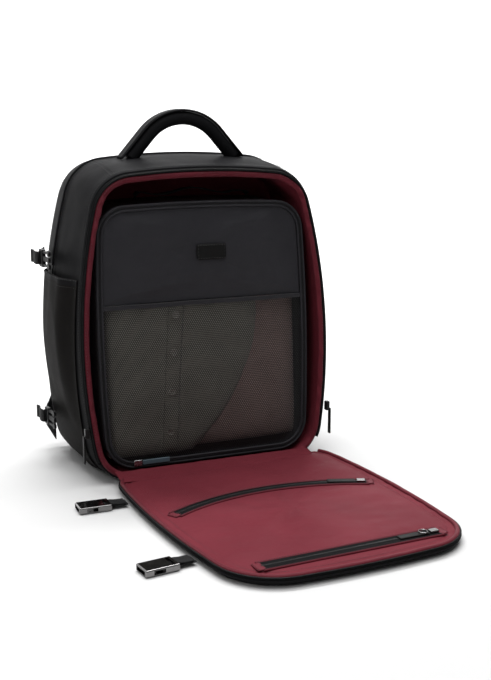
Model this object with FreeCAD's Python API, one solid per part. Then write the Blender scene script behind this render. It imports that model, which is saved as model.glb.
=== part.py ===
"""Travel backpack, opened clamshell style, built sub-part by sub-part.  Millimetres, +Z up.

The origin is the centre of the base on the floor.  The bag opens towards -Y, and its back rests
against the wearer on +Y.  The front panel is folded down on the floor, hinged along the lower rim.
"""
import FreeCAD
import Part
import math
import os

V = FreeCAD.Vector

# ---- driving dimensions -------------------------------------------------------------------
RIM_HALF_WIDTH = 190.0     # widest half width of the front rim
RIM_HEIGHT = 438.0         # top of the front rim
WIDEST_Z = 185.0           # height where the rim is widest
SIDE_RADIUS = 820.0        # bulge of the long sides
TOP_RADIUS = 1100.0        # gentle crown of the top
CORNER_RADIUS = 62.0       # upper corners
FOOT_RADIUS = 57.0         # lower corners
FOOT_TRIM = 0.3
RIM_Y_BOTTOM = -118.0      # the rim leans back: its y at the floor ...
RIM_Y_TOP = -89.0          # ... and its y at the top
SEAM_Y = 24.0              # seam between the main compartment and the rear compartment
BACK_Y = 94.0              # outer face of the back panel
BACK_SPLIT_Y = 84.0        # seam between the rear gusset and the back panel
DOME_TOP = 16.0            # how far the top rises between rim and seam
DOME_SIDE = 9.5            # how far the sides swell between rim and seam
WALL = 6.0                 # padded shell wall
LINING = 1.2               # lining cloth
FLAP_HALF_WIDTH = 176.0
FLAP_HEIGHT = 432.0
FLAP_SIDE_RADIUS = 1400.0  # the soft panel's sides run straighter than the rim's
FLAP_THICKNESS = 13.0
HINGE_Y = -123.5           # fabric hinge of the front panel
HINGE_Z = 14.0
HINGE_ROLL = 1.8           # radius of the rolled hinge strip
FLAP_SWAY = 2.6            # lying open, the panel leans this far to one side in its own plane (degrees)
SWAY_PIVOT_Y = 105.0       # ... about a vertical axis behind the hinge
CUBE_HALF_WIDTH = 162.0    # packing cube that fills the main compartment
CUBE_BOTTOM_Z = 15.5
CUBE_TOP_Z = 391.0
CUBE_SET_BACK = 8.0        # cube front behind the rim plane
CUBE_BACK_Y = 14.0
HEM_Z = 247.0              # seam between the cube's solid panel and its mesh window
POCKET_TOP_Z = 288.0       # mouth of the side pockets
STRAP_LOW_Z = 92.0         # heights of the compression straps
STRAP_HIGH_Z = 308.0
WEBBING_WIDTH = 20.0
WEBBING = 1.8              # webbing thickness
HANDLE_TOP_Z = 519.0
CLEAR = 0.3                # gap between neighbouring pieces

TILT = (RIM_Y_TOP - RIM_Y_BOTTOM) / RIM_HEIGHT
FAR = 700.0                # larger than the bag, for cutting tools
SIDES = (("left", -1.0), ("right", 1.0))


# ---- outlines -----------------------------------------------------------------------------
def arc(centre, radius, start, end):
    """Arc edge about a centre in the XZ plane, between two directions given as points."""
    a0 = math.atan2(start.z - centre.z, start.x - centre.x)
    a1 = math.atan2(end.z - centre.z, end.x - centre.x)
    if a1 < a0:
        a1 += 2 * math.pi
    points = [V(centre.x + radius * math.cos(a), centre.y, centre.z + radius * math.sin(a))
              for a in (a0, (a0 + a1) / 2, a1)]
    return Part.Arc(*points).toShape()


def circle_crossing(c0, r0, c1, r1):
    """Upper right crossing of two circles in the XZ plane."""
    gap = c1.sub(c0)
    d = gap.Length
    along = (r0 * r0 - r1 * r1 + d * d) / (2 * d)
    across = math.sqrt(r0 * r0 - along * along)
    unit = V(gap).multiply(1 / d)
    foot = c0.add(V(unit).multiply(along))
    options = [foot.add(V(-unit.z * k, 0, unit.x * k)) for k in (across, -across)]
    return max(options, key=lambda p: p.x)


class Outline:
    """A bag front: flat foot, rounded lower corners, bulged sides, rounded upper corners, crown.

    Every arc keeps its centre when the outline is inset, so nested pieces stay parallel."""

    def __init__(self, half_width, height, foot=0.0, widest=WIDEST_Z, side=SIDE_RADIUS,
                 top=TOP_RADIUS, corner=CORNER_RADIUS, foot_radius=FOOT_RADIUS):
        self.foot, self.side, self.top = foot, side, top
        self.corner, self.foot_radius = corner, foot_radius
        self.side_centre = V(half_width - side, 0, widest)
        self.top_centre = V(0, 0, height - top)
        self.corner_centre = circle_crossing(self.side_centre, side - corner,
                                             self.top_centre, top - corner)
        low = foot + foot_radius
        reach = math.sqrt((side - foot_radius) ** 2 - (low - widest) ** 2)
        self.foot_centre = V(self.side_centre.x + reach, 0, low)

    def wire(self, inset, y):
        def at(point):
            return V(point.x, y, point.z)

        def beyond(centre, through, radius):
            unit = through.sub(centre).normalize()
            return centre.add(unit.multiply(radius))

        side, top = at(self.side_centre), at(self.top_centre)
        corner, foot = at(self.corner_centre), at(self.foot_centre)
        p_foot = V(foot.x, y, self.foot + inset)
        p_low = beyond(side, foot, self.side - inset)
        p_high = beyond(side, corner, self.side - inset)
        p_top = beyond(top, corner, self.top - inset)

        def flip(point):
            return V(-point.x, point.y, point.z)

        edges = [
            Part.LineSegment(flip(p_foot), p_foot).toShape(),
            arc(foot, self.foot_radius - inset, p_foot, p_low),
            arc(side, self.side - inset, p_low, p_high),
            arc(corner, self.corner - inset, p_high, p_top),
            arc(top, self.top - inset, p_top, flip(p_top)),
            arc(flip(corner), self.corner - inset, flip(p_top), flip(p_high)),
            arc(flip(side), self.side - inset, flip(p_high), flip(p_low)),
            arc(flip(foot), self.foot_radius - inset, flip(p_low), flip(p_foot)),
        ]
        return Part.Wire(edges)

    def slab(self, inset, y0, y1):
        face = Part.Face(self.wire(inset, y0))
        return face.extrude(V(0, y1 - y0, 0))

    def ring(self, inset_out, inset_in, y0, y1):
        return self.slab(inset_out, y0, y1).cut(self.slab(inset_in, y0 - 1, y1 + 1))


RIM = Outline(RIM_HALF_WIDTH, RIM_HEIGHT)
FLAP = Outline(FLAP_HALF_WIDTH, FLAP_HEIGHT, side=FLAP_SIDE_RADIUS)
CUBE = Outline(CUBE_HALF_WIDTH, CUBE_TOP_Z, foot=CUBE_BOTTOM_Z, widest=200.0, side=2600.0,
               top=2600.0, corner=44.0, foot_radius=46.0)


# ---- small tools --------------------------------------------------------------------------
def box(x0, x1, y0, y1, z0, z1):
    return Part.makeBox(x1 - x0, y1 - y0, z1 - z0, V(x0, y0, z0))


def prism_x(points, x0, x1):
    """Closed polygon of (y, z) points, pushed along X."""
    loop = [V(x0, y, z) for y, z in points]
    face = Part.Face(Part.makePolygon(loop + loop[:1]))
    return face.extrude(V(x1 - x0, 0, 0))


def behind_rim(front, back):
    """The slab between two planes parallel to the leaning rim, at these offsets along Y."""
    low, high = -50.0, 600.0
    y_low, y_high = RIM_Y_BOTTOM + TILT * low, RIM_Y_BOTTOM + TILT * high
    corners = [(y_low + front, low), (y_low + back, low), (y_high + back, high),
               (y_high + front, high)]
    return prism_x(corners, -FAR, FAR)


def rounded(shape, radius, keep=lambda edge: True):
    """Fillet the chosen edges, or leave the shape square where the kernel can't."""
    edges = [edge for edge in shape.Edges if keep(edge)]
    try:
        result = shape.makeFillet(radius, edges)
        return result if result.isValid() and result.Volume > 0 else shape
    except Part.OCCError:
        return shape


def mirrored(shape):
    return shape.mirror(V(0, 0, 0), V(1, 0, 0))


def on_side(shape, sign):
    """Shapes are drawn on the +X side; the left one is the mirror image."""
    return shape if sign > 0 else mirrored(shape)


def both_sides(shape):
    """One node that holds the right-hand piece and its mirror image."""
    return Part.makeCompound([mirrored(shape), shape])


def save(name, shape):
    solids = shape.Solids
    result = solids[0] if len(solids) == 1 else Part.makeCompound(solids)
    result.exportStep("parts/%s.step" % name)


# ---- shell --------------------------------------------------------------------------------
def swell(y):
    """Share of the dome at a depth: none near the rim, full at the seam, turned in at the back."""
    if y <= SEAM_Y:
        return 1 - ((y - SEAM_Y) / (SEAM_Y - RIM_Y_TOP + 8)) ** 2
    turn = max(0.0, (y - 62.0) / (BACK_Y - 62.0))
    return 1 - 0.35 * ((y - SEAM_Y) / 60.0) ** 2 - 1.5 * turn ** 3


def shell_section(y, grow=0.0):
    share = swell(y)
    outline = Outline(RIM_HALF_WIDTH + DOME_SIDE * share + grow, RIM_HEIGHT + DOME_TOP * share + grow,
                      foot=-FOOT_TRIM)
    return outline.wire(0.0, y)


def shell_solid(depths, grow=0.0):
    """The shell as a loft, its foot trimmed to one flat face at z = 0."""
    loft = Part.makeLoft([shell_section(y, grow) for y in depths], True, True)
    return loft.common(box(-FAR, FAR, -FAR, FAR, 0.0, FAR))


FRONT_DEPTHS = (-125.0, -95.0, -60.0, -20.0, SEAM_Y)
REAR_DEPTHS = (SEAM_Y + CLEAR, 50.0, 66.0, 78.0, BACK_SPLIT_Y, 90.0, BACK_Y)


def build_shell():
    front = shell_solid(FRONT_DEPTHS).common(behind_rim(0.0, FAR))
    front = front.cut(RIM.slab(WALL, -200.0, SEAM_Y + 1))
    save("front_gusset", front)

    rear = shell_solid(REAR_DEPTHS)
    rear_ring = rear.common(box(-FAR, FAR, 0, BACK_SPLIT_Y, -1, FAR))
    rear_ring = rear_ring.cut(RIM.slab(WALL, 0.0, BACK_SPLIT_Y + 1))
    save("rear_gusset", rear_ring)
    back = rear.common(box(-FAR, FAR, BACK_SPLIT_Y + CLEAR, FAR, -1, FAR))
    save("back_panel", back)

    save("divider_panel", RIM.slab(WALL + CLEAR, SEAM_Y - 4.0, SEAM_Y))
    sleeve = Outline(165.0, 400.0, foot=WALL + 6.0)
    save("laptop_sleeve", sleeve.slab(0.0, SEAM_Y + 4.0, SEAM_Y + 34.0))
    piping = shell_solid((SEAM_Y - 1.5, SEAM_Y + 1.5), grow=1.6)
    body = shell_solid((SEAM_Y - 3.0, SEAM_Y + 3.0), grow=CLEAR)
    piping = piping.cut(body).common(box(-FAR, FAR, -FAR, FAR, POCKET_TOP_Z + 4, FAR))
    save("seam_piping", piping)


def build_lining():
    ring = RIM.ring(WALL + 2.6, WALL + 2.6 + LINING, -200.0, SEAM_Y - 5.8).common(behind_rim(1.0, FAR))
    back = RIM.slab(WALL + 2.6, SEAM_Y - 5.8, SEAM_Y - 5.8 + LINING)
    save("main_lining", ring.fuse(back).removeSplitter())
    board = box(-122, 122, -108, SEAM_Y - 6, WALL + 0.2, WALL + 2.3)
    save("base_board", board)
    tape = RIM.ring(0.5, 5.0, -200, 0).common(behind_rim(-4.0, -0.2))
    tape = tape.cut(box(-FAR, FAR, -FAR, FAR, -1, 30.0))
    save("rim_zip_tape", tape)
    facing = RIM.ring(5.3, 12.5, -200, 0).common(behind_rim(-3.5, -0.2))
    save("rim_facing", facing)
    roll = Part.makeCylinder(HINGE_ROLL, 250.0, V(-125, HINGE_Y, HINGE_Z), V(1, 0, 0))
    save("hinge_roll", roll)


# ---- top handle ---------------------------------------------------------------------------
HANDLE_Y = -6.0
GRIP_RADIUS = 10.0
HANDLE_SLOPE = math.radians(49.0)
HANDLE_BEND = 68.0         # radius of the grip's centre line at the top
BAND_THICKNESS = 3.0


def handle_path(offset, z_end):
    """Leg, arc, leg: the grip's centre line, pushed outwards by an offset."""
    radius = HANDLE_BEND + offset
    centre_z = HANDLE_TOP_Z - BAND_THICKNESS - CLEAR - GRIP_RADIUS - HANDLE_BEND
    knee = V(radius * math.sin(HANDLE_SLOPE), 0, centre_z + radius * math.cos(HANDLE_SLOPE))
    drop = knee.z - z_end
    end = V(knee.x + drop / math.tan(HANDLE_SLOPE), 0, z_end)
    apex = V(0, 0, centre_z + radius)
    left_knee, left_end = V(-knee.x, 0, knee.z), V(-end.x, 0, end.z)
    return [Part.LineSegment(left_end, left_knee).toShape(),
            Part.Arc(left_knee, apex, knee).toShape(),
            Part.LineSegment(knee, end).toShape()]


def build_handle():
    body = shell_solid(FRONT_DEPTHS, grow=CLEAR)
    low = RIM_HEIGHT - 8
    path = Part.Wire(handle_path(0.0, low))
    start = path.Vertexes[0].Point
    direction = V(math.cos(HANDLE_SLOPE), 0, math.sin(HANDLE_SLOPE))
    profile = Part.Wire(Part.makeCircle(GRIP_RADIUS, start, direction))
    grip = path.makePipeShell([profile], True, False).translated(V(0, HANDLE_Y, 0))
    save("handle_grip", grip.cut(body))

    inner = handle_path(GRIP_RADIUS + CLEAR, low)
    outer = handle_path(GRIP_RADIUS + CLEAR + BAND_THICKNESS, low)
    i0, i1 = inner[0].Vertexes[0].Point, inner[2].Vertexes[1].Point
    o0, o1 = outer[0].Vertexes[0].Point, outer[2].Vertexes[1].Point
    joins = [Part.LineSegment(i1, o1).toShape(), Part.LineSegment(o0, i0).toShape()]
    loop = Part.Wire(Part.__sortEdges__(inner + outer + joins))
    band = Part.Face(loop).extrude(V(0, 24.0, 0)).translated(V(0, HANDLE_Y - 7.0, 0))
    save("handle_band", band.cut(body))


# ---- back pads and shoulder straps --------------------------------------------------------
PAD_THICKNESS = 10.0


def build_back_pads():
    pad = box(14, 132, BACK_Y + CLEAR, BACK_Y + PAD_THICKNESS, 70, 395)
    pad = rounded(pad, 4.0, lambda e: e.BoundBox.YMin > BACK_Y + PAD_THICKNESS - 0.1)
    save("back_pads", both_sides(pad))


def thick_curve(y_list, z_list, thickness, x0, x1):
    """A strap seen from the side: a three-point arc with a thickness, pushed along X."""
    def curve(shift):
        points = [V(x0, y + shift, z) for y, z in zip(y_list, z_list)]
        return Part.Arc(*points).toShape(), points[0], points[-1]
    near, n0, n1 = curve(0.0)
    far, f0, f1 = curve(thickness)
    wire = Part.Wire(Part.__sortEdges__([near, far, Part.LineSegment(n0, f0).toShape(),
                                         Part.LineSegment(n1, f1).toShape()]))
    return Part.Face(wire).extrude(V(x1 - x0, 0, 0))


def strap_plan(inner, outer, y0, y1):
    """Front view of a strap: two three-point edges joined at the ends, pushed along Y."""
    def curve(points):
        line = [V(x, y0, z) for x, z in points]
        return Part.Arc(*line).toShape(), line[0], line[-1]
    left, l0, l1 = curve(inner)
    right, r0, r1 = curve(outer)
    wire = Part.Wire(Part.__sortEdges__([left, right, Part.LineSegment(l0, r0).toShape(),
                                         Part.LineSegment(l1, r1).toShape()]))
    return Part.Face(wire).extrude(V(0, y1 - y0, 0))


def strip(start, end, width, thickness):
    """Flat webbing between two points, its face turned towards +Y as far as its run allows."""
    along = end.sub(start)
    length = along.Length
    along.normalize()
    across = along.cross(V(0, 1, 0)).normalize()
    normal = across.cross(along)
    corners = [start.add(V(across).multiply(k)) for k in (-width / 2, width / 2)]
    corners += [corner.add(V(along).multiply(length)) for corner in reversed(corners)]
    face = Part.Face(Part.makePolygon(corners + corners[:1]))
    return face.extrude(normal.multiply(thickness))


STRAP_PAD = 13.0


def build_shoulder_straps():
    inner_edge = ((26, 418), (47, 270), (112, 132))
    outer_edge = ((88, 418), (108, 280), (162, 146))
    plan = strap_plan(inner_edge, outer_edge, BACK_Y, 200)
    side_view = thick_curve((BACK_Y + 3, BACK_Y + 34, BACK_Y + 14), (425, 285, 125), STRAP_PAD, 0, 200)
    pad = plan.common(side_view)
    anchor = rounded(box(30, 84, BACK_Y + CLEAR, BACK_Y + 2.8, 396, 421), 1.0)
    lock_frame = rounded(box(-17, 17, -3, 3, -16, 16), 1.5)
    slots = [box(-12, 12, -4, 4, z, z + 5) for z in (-11.0, 6.0)]
    lock = lock_frame.cut(slots[0]).cut(slots[1])
    lock.rotate(V(0, 0, 0), V(0, 1, 0), -32.0)
    lock.rotate(V(0, 0, 0), V(1, 0, 0), -22.0)
    lock.translate(V(150, BACK_Y + 22, 112))
    web = strip(V(155, BACK_Y + 20, 104), V(189, BACK_Y + 7, 42), WEBBING_WIDTH, WEBBING)
    wing = prism_x([(BACK_Y - 26, 18), (BACK_Y - 26, 62), (BACK_Y + 2, 44), (BACK_Y + 2, 34)], 0, 2.5)
    wing.rotate(V(0, BACK_Y, 40), V(0, 0, 1), -14.0)
    wing.translate(V(191, 0, 0))
    wing = wing.cut(shell_solid(REAR_DEPTHS, grow=CLEAR))
    web = web.cut(lock).cut(wing)
    for name, sign in SIDES:
        save("shoulder_strap_%s" % name, on_side(pad, sign))
    save("strap_anchors", both_sides(anchor))
    save("ladder_locks", both_sides(lock))
    save("strap_webbings", both_sides(web))
    save("strap_wings", both_sides(wing))


# ---- side pockets -------------------------------------------------------------------------
POCKET_FRONT_Y = -72.0
POCKET_BACK_Y = 50.0
POCKET_WALL = 2.2


def pocket_block(shrink, y0, y1, top):
    """The pocket's swell on the +X side, open to the bag."""
    points = (V(168 - shrink, y0, 8), V(204 - shrink, y0, 130), V(206 - shrink, y0, top))
    edge = Part.Arc(*points).toShape()
    corners = [points[2], V(120, y0, top), V(120, y0, 8), points[0]]
    lines = [Part.LineSegment(a, b).toShape() for a, b in zip(corners, corners[1:])]
    return Part.Face(Part.Wire([edge] + lines)).extrude(V(0, y1 - y0, 0))


def build_side_pockets():
    bag = shell_solid(FRONT_DEPTHS, grow=CLEAR).fuse(shell_solid(REAR_DEPTHS, grow=CLEAR))
    block = pocket_block(0.0, POCKET_FRONT_Y, POCKET_BACK_Y, POCKET_TOP_Z)
    hollow = pocket_block(POCKET_WALL, POCKET_FRONT_Y + POCKET_WALL, POCKET_BACK_Y - POCKET_WALL,
                          POCKET_TOP_Z)
    hollow = hollow.common(box(0, FAR, -FAR, FAR, 60.0, FAR))
    hollow = hollow.fuse(box(120, 206 - POCKET_WALL, POCKET_FRONT_Y + POCKET_WALL,
                             POCKET_BACK_Y - POCKET_WALL, POCKET_TOP_Z - 2, POCKET_TOP_Z + 5))
    pocket = block.cut(hollow).cut(bag)
    pocket = max(pocket.Solids, key=lambda solid: solid.Volume)
    for name, sign in SIDES:
        save("side_pocket_%s" % name, on_side(pocket, sign))


# ---- buckles ------------------------------------------------------------------------------
BUCKLE_WIDTH = 28.0
BUCKLE_THICKNESS = 8.6
FEMALE_LENGTH = 44.0
MALE_FRAME = 15.0
PRONG = 27.0


def female_buckle():
    """Socket of a side-release buckle: X is its length with the mouth at the far end, Y its width."""
    half = BUCKLE_WIDTH / 2
    body = rounded(box(0, FEMALE_LENGTH, -half, half, 0, BUCKLE_THICKNESS), 1.8)
    slot = box(5, 9, -11, 11, -1, BUCKLE_THICKNESS + 1)
    mouth = box(15, FEMALE_LENGTH + 1, -11.2, 11.2, 1.8, BUCKLE_THICKNESS - 1.8)
    windows = [box(19, 34, y, y + 5, 1.8, BUCKLE_THICKNESS - 1.8) for y in (-half - 1, half - 4)]
    return body.cut(slot).cut(mouth).cut(windows[0]).cut(windows[1])


def male_buckle():
    """Prong half: frame bar with its webbing slot, a centre guide and two side prongs along +X."""
    half = BUCKLE_WIDTH / 2 - 1
    frame = rounded(box(0, MALE_FRAME, -half, half, 0, 6.0), 1.5)
    frame = frame.cut(box(4, 8, -10, 10, -1, 7))
    guide = box(MALE_FRAME - 1, MALE_FRAME + PRONG - 4, -3.5, 3.5, 1.2, 4.8)
    result = frame.fuse(guide)
    for side in (-1, 1):
        y = side * 9.5
        prong = box(MALE_FRAME - 1, MALE_FRAME + PRONG - 6, y - 1.6, y + 1.6, 1.2, 4.8)
        tip = Part.makeCylinder(4.0, 3.6, V(MALE_FRAME + PRONG - 7, y, 1.2))
        result = result.fuse(prong).fuse(tip)
    return result.removeSplitter()


# ---- compression straps on the bag's sides ------------------------------------------------
SIDE_STRAPS = (("upper", STRAP_HIGH_Z), ("lower", STRAP_LOW_Z - 20.0))
SIDE_ROOT = V(194.8, 66.0, 0.0)     # where a strap is sewn into the rear gusset
SIDE_WEB_REACH = 54.0
SIDE_WEB_SWING = 17.0               # the webbing stands away from the bag by this angle
BUCKLE_LEAN = 5.0                   # and its buckle leans back in by this one


def build_side_straps():
    for level, height in SIDE_STRAPS:
        web = box(0, SIDE_WEB_REACH, -WEBBING_WIDTH / 2, WEBBING_WIDTH / 2, 0, WEBBING)
        web.rotate(V(0, 0, 0), V(1, 0, 0), 90.0)
        web.rotate(V(0, 0, 0), V(0, 0, 1), -90.0 + SIDE_WEB_SWING)
        web.translate(V(SIDE_ROOT.x, SIDE_ROOT.y, height))
        swing = math.radians(SIDE_WEB_SWING)
        tip_x = SIDE_ROOT.x + SIDE_WEB_REACH * math.sin(swing)
        tip_y = SIDE_ROOT.y - SIDE_WEB_REACH * math.cos(swing)
        buckle = male_buckle()
        buckle.rotate(V(0, 0, 0), V(1, 0, 0), 90.0)
        buckle.rotate(V(0, 0, 0), V(0, 0, 1), -90.0 - BUCKLE_LEAN)
        buckle.translate(V(tip_x + 2.0, tip_y + 9.0, height))
        buckle = buckle.cut(web)
        for name, sign in SIDES:
            save("side_webbing_%s_%s" % (level, name), on_side(web, sign))
            save("male_buckle_%s_%s" % (level, name), on_side(buckle, sign))


# ---- main zip sliders ---------------------------------------------------------------------
def build_main_sliders():
    """They park at the lower ends of the rim and run up its long side arcs."""
    z = 78.0
    x = SIDE_RADIUS * math.cos(math.asin((z - WIDEST_Z) / SIDE_RADIUS)) + RIM_HALF_WIDTH - SIDE_RADIUS
    y = RIM_Y_BOTTOM + TILT * z - 5.0
    slider = rounded(box(x + 1.5, x + 7.5, y - 4, y + 4, z - 7, z + 7), 1.2)
    puller = rounded(box(x + 8.0, x + 10.0, y - 3.5, y + 3.5, z - 44, z - 4), 0.8)
    for name, sign in SIDES:
        save("main_slider_%s" % name, on_side(slider, sign))
        save("main_puller_%s" % name, on_side(puller, sign))


# ---- front panel (flap) -------------------------------------------------------------------
NOTCH_HALF = 24.0          # hollows under the panel hold the right-hand straps
FLAP_PANEL_TOP = 9.6       # top of the padded outer panel when it lies open


def lay_flat(shape):
    """Front-panel pieces are drawn upright in XZ with depth along Y, then laid open."""
    placed = shape.copy()
    placed.translate(V(0, 0, -HINGE_Z))
    placed.rotate(V(0, 0, 0), V(1, 0, 0), 90.0)
    placed.translate(V(0, HINGE_Y, 0))
    return placed


def above_hinge(shape, gap=10.0):
    return shape.common(box(-FAR, FAR, -FAR, FAR, HINGE_Z + gap, FAR))


def flap_y(height):
    """Where a height on the closed front panel lies when it is open."""
    return HINGE_Y - (height - HINGE_Z)


def save_on_flap(name, shape):
    """Front-panel pieces are drawn straight, then swayed in the plane they lie in."""
    swayed = shape.copy()
    swayed.rotate(V(0, SWAY_PIVOT_Y, 0), V(0, 0, 1), FLAP_SWAY)
    save(name, swayed)


ZIP_BAND = 9.0             # width of a pocket zip's tape
FAR_ZIP_Y = -493.0
CURVED_ZIP_HALF = 144.0
CURVED_ZIP_END_Y = -298.0
CURVED_ZIP_MID_Y = -261.0
STRAIGHT_ZIP_HALF = 122.0
_rise = CURVED_ZIP_MID_Y - CURVED_ZIP_END_Y
CURVED_ZIP_RADIUS = (CURVED_ZIP_HALF ** 2 + _rise ** 2) / (2 * _rise)
CURVED_ZIP_CENTRE_Y = CURVED_ZIP_MID_Y - CURVED_ZIP_RADIUS


def build_flap():
    lower = Part.makeLoft([FLAP.wire(7.0, 0.0), FLAP.wire(1.5, 2.5), FLAP.wire(0.0, 7.0)], True, True)
    panel = lower.fuse(FLAP.slab(0.0, 7.0, FLAP_PANEL_TOP)).removeSplitter()
    panel = lay_flat(above_hinge(panel))
    for height in (STRAP_LOW_Z, STRAP_HIGH_Z):
        y = flap_y(height)
        panel = panel.cut(box(106, 200, y - NOTCH_HALF, y + NOTCH_HALF, -1, FLAP_PANEL_TOP + 1))
    save_on_flap("flap_panel", panel)
    save_on_flap("flap_lining", lay_flat(above_hinge(FLAP.slab(6.0, FLAP_PANEL_TOP + 0.2, FLAP_THICKNESS))))
    binding = FLAP.ring(0.0, 5.7, FLAP_PANEL_TOP + 0.2, FLAP_THICKNESS + 0.4)
    save_on_flap("flap_binding", lay_flat(above_hinge(binding)))


def tape_sector(radius, half_width, z0, z1, half_angle):
    """Part of a flat ring about a vertical axis, symmetric about the +Y direction."""
    outer = Part.makeCylinder(radius + half_width, z1 - z0, V(0, 0, z0))
    ring = outer.cut(Part.makeCylinder(radius - half_width, z1 - z0, V(0, 0, z0)))
    reach = radius * 2
    wedge = Part.makePolygon([V(0, 0, z0), V(-reach * math.sin(half_angle), reach * math.cos(half_angle), z0),
                              V(reach * math.sin(half_angle), reach * math.cos(half_angle), z0), V(0, 0, z0)])
    return ring.common(Part.Face(wedge).extrude(V(0, 0, z1 - z0)))


def pocket_slider(x, y, turn, tab_length):
    """A slider on the lining, and its leather tab lying back along the closed zip, towards -X."""
    top = FLAP_THICKNESS + 1.9
    slider = rounded(box(-6, 6, -4.5, 4.5, top, top + 3.2), 1.0)
    tab = rounded(box(-8.5 - tab_length, -7.8, -5.5, 5.5, top, top + 2.2), 0.8)
    for shape in (slider, tab):
        shape.rotate(V(0, 0, 0), V(0, 0, 1), turn)
        shape.translate(V(x, y, 0))
    return slider, tab


def build_pocket_zips():
    low, high = FLAP_THICKNESS + 0.2, FLAP_THICKNESS + 1.6
    half_angle = math.asin(CURVED_ZIP_HALF / CURVED_ZIP_RADIUS)
    curved = tape_sector(CURVED_ZIP_RADIUS, ZIP_BAND / 2, low, high, half_angle)
    curved.translate(V(0, CURVED_ZIP_CENTRE_Y, 0))
    save_on_flap("curved_zip_tape", curved)
    straight = box(-STRAIGHT_ZIP_HALF, STRAIGHT_ZIP_HALF, FAR_ZIP_Y - 6, FAR_ZIP_Y + 6, low, high)
    save_on_flap("straight_zip_tape", straight)

    angle = half_angle - 0.035
    slider, tab = pocket_slider(CURVED_ZIP_RADIUS * math.sin(angle),
                                CURVED_ZIP_CENTRE_Y + CURVED_ZIP_RADIUS * math.cos(angle),
                                -math.degrees(angle) * 0.9, 38.0)
    save_on_flap("curved_zip_slider", slider)
    save_on_flap("curved_zip_tab", tab)
    slider, tab = pocket_slider(STRAIGHT_ZIP_HALF - 8, FAR_ZIP_Y, 0.0, 42.0)
    save_on_flap("straight_zip_slider", slider)
    save_on_flap("straight_zip_tab", tab)


# name, closed height, side, length of webbing outside the edge, tucked under the panel
FLAP_STRAPS = (
    ("lower_left", STRAP_LOW_Z, -1.0, 24.0, False),
    ("upper_left", STRAP_HIGH_Z, -1.0, 24.0, False),
    ("lower_right", STRAP_LOW_Z, 1.0, 16.0, True),
    ("upper_right", STRAP_HIGH_Z, 1.0, 16.0, True),
)
EDGE_GAP = 1.2             # a compression strap's fold stands this far off the panel's edge


def flap_half_width(height):
    return FLAP.side_centre.x + math.sqrt(FLAP_SIDE_RADIUS ** 2 - (height - WIDEST_Z) ** 2)


def edge_slope(height):
    """How far the panel's edge turns away from the long axis at a height, in degrees."""
    return math.degrees(math.asin((height - WIDEST_Z) / FLAP_SIDE_RADIUS))


def build_flap_straps():
    for name, height, sign, web_length, tucked in FLAP_STRAPS:
        edge = flap_half_width(height)
        y = flap_y(height)
        mid = CLEAR + BUCKLE_THICKNESS / 2
        web = box(1.0, web_length + 7, -WEBBING_WIDTH / 2, WEBBING_WIDTH / 2, mid - 1, mid - 1 + WEBBING)
        buckle = female_buckle().translated(V(web_length, 0, CLEAR)).cut(web)
        for label, shape in (("flap_webbing_", web), ("female_buckle_", buckle)):
            placed = shape.copy()
            if tucked:
                placed.rotate(V(0, 0, mid), V(0, 1, 0), 180.0)
            placed.rotate(V(0, 0, 0), V(0, 0, 1), -edge_slope(height))
            placed.translate(V(edge + EDGE_GAP, y, 0))
            save_on_flap(label + name, on_side(placed, sign))


# ---- packing cube -------------------------------------------------------------------------
CUBE_WALL = 1.6
CUBE_BORDER = 9.0


def cube_front(front, back):
    return behind_rim(CUBE_SET_BACK + front, CUBE_SET_BACK + back)


def build_cube():
    cavity = CUBE.slab(CUBE_WALL, -200.0, CUBE_BACK_Y - CUBE_WALL)
    shell = CUBE.slab(0.0, -200.0, CUBE_BACK_Y).cut(cavity).common(behind_rim(CUBE_SET_BACK + 2.2, FAR))
    save("cube_shell", shell)
    piping = CUBE.ring(0.0, CUBE_BORDER, -200.0, 0.0).common(cube_front(-0.8, 2.0))
    save("cube_piping", piping)
    face = CUBE.slab(CUBE_BORDER + 0.2, -200.0, 0.0)
    solid_part = face.common(box(-FAR, FAR, -FAR, FAR, HEM_Z + 3, FAR))
    hem = face.common(box(-FAR, FAR, -FAR, FAR, HEM_Z - 3.2, HEM_Z + 3)).common(cube_front(0.0, 2.0))
    solid_part = solid_part.common(cube_front(0.6, 2.0))
    save("cube_upper_panel", solid_part.fuse(hem).removeSplitter())
    window = face.common(box(-FAR, FAR, -FAR, FAR, 0, HEM_Z - 3.4))
    save("cube_mesh_window", window.common(cube_front(0.8, 2.0)))
    carry = box(-86, 86, -52, -34, CUBE_TOP_Z + 14, CUBE_TOP_Z + 16)
    for end in (-1, 1):
        leg = box(0, 2, -52, -34, CUBE_TOP_Z - 1.2, CUBE_TOP_Z + 14)
        leg.translate(V(end * 86 - 1, 0, 0))
        carry = carry.fuse(leg)
    save("cube_carry_strap", carry.removeSplitter())


def build_cube_contents():
    inner = CUBE.slab(CUBE_WALL + 1.5, -200.0, CUBE_BACK_Y - CUBE_WALL - 1.0)
    shirt = box(-148, 98, -120, -62, 24, HEM_Z + 60)
    save("folded_shirt", rounded(shirt.common(inner).common(cube_front(5.0, 60.0)), 6.0))
    stack = box(-130, 152, -61, 6, 18, 372)
    side_stack = box(100, 152, -120, -60, 30, HEM_Z + 60).common(cube_front(9.0, 60.0))
    save("folded_garment", stack.fuse(side_stack).common(inner).removeSplitter())


def build_cube_zip():
    """The slider runs along the straight bottom edge; its cord tab lies along the edge."""
    z = CUBE_BOTTOM_Z + 8.0
    y = RIM_Y_BOTTOM + TILT * z + CUBE_SET_BACK - 1.2
    slider = rounded(box(-118, -106, y - 3.4, y, z - 4.5, z + 4.5), 1.0)
    tab = rounded(box(-104.5, -64, y - 3.0, y - 0.4, z - 3.5, z + 3.5), 1.0)
    save("cube_zip_slider", slider)
    save("cube_zip_tab", tab)


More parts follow.
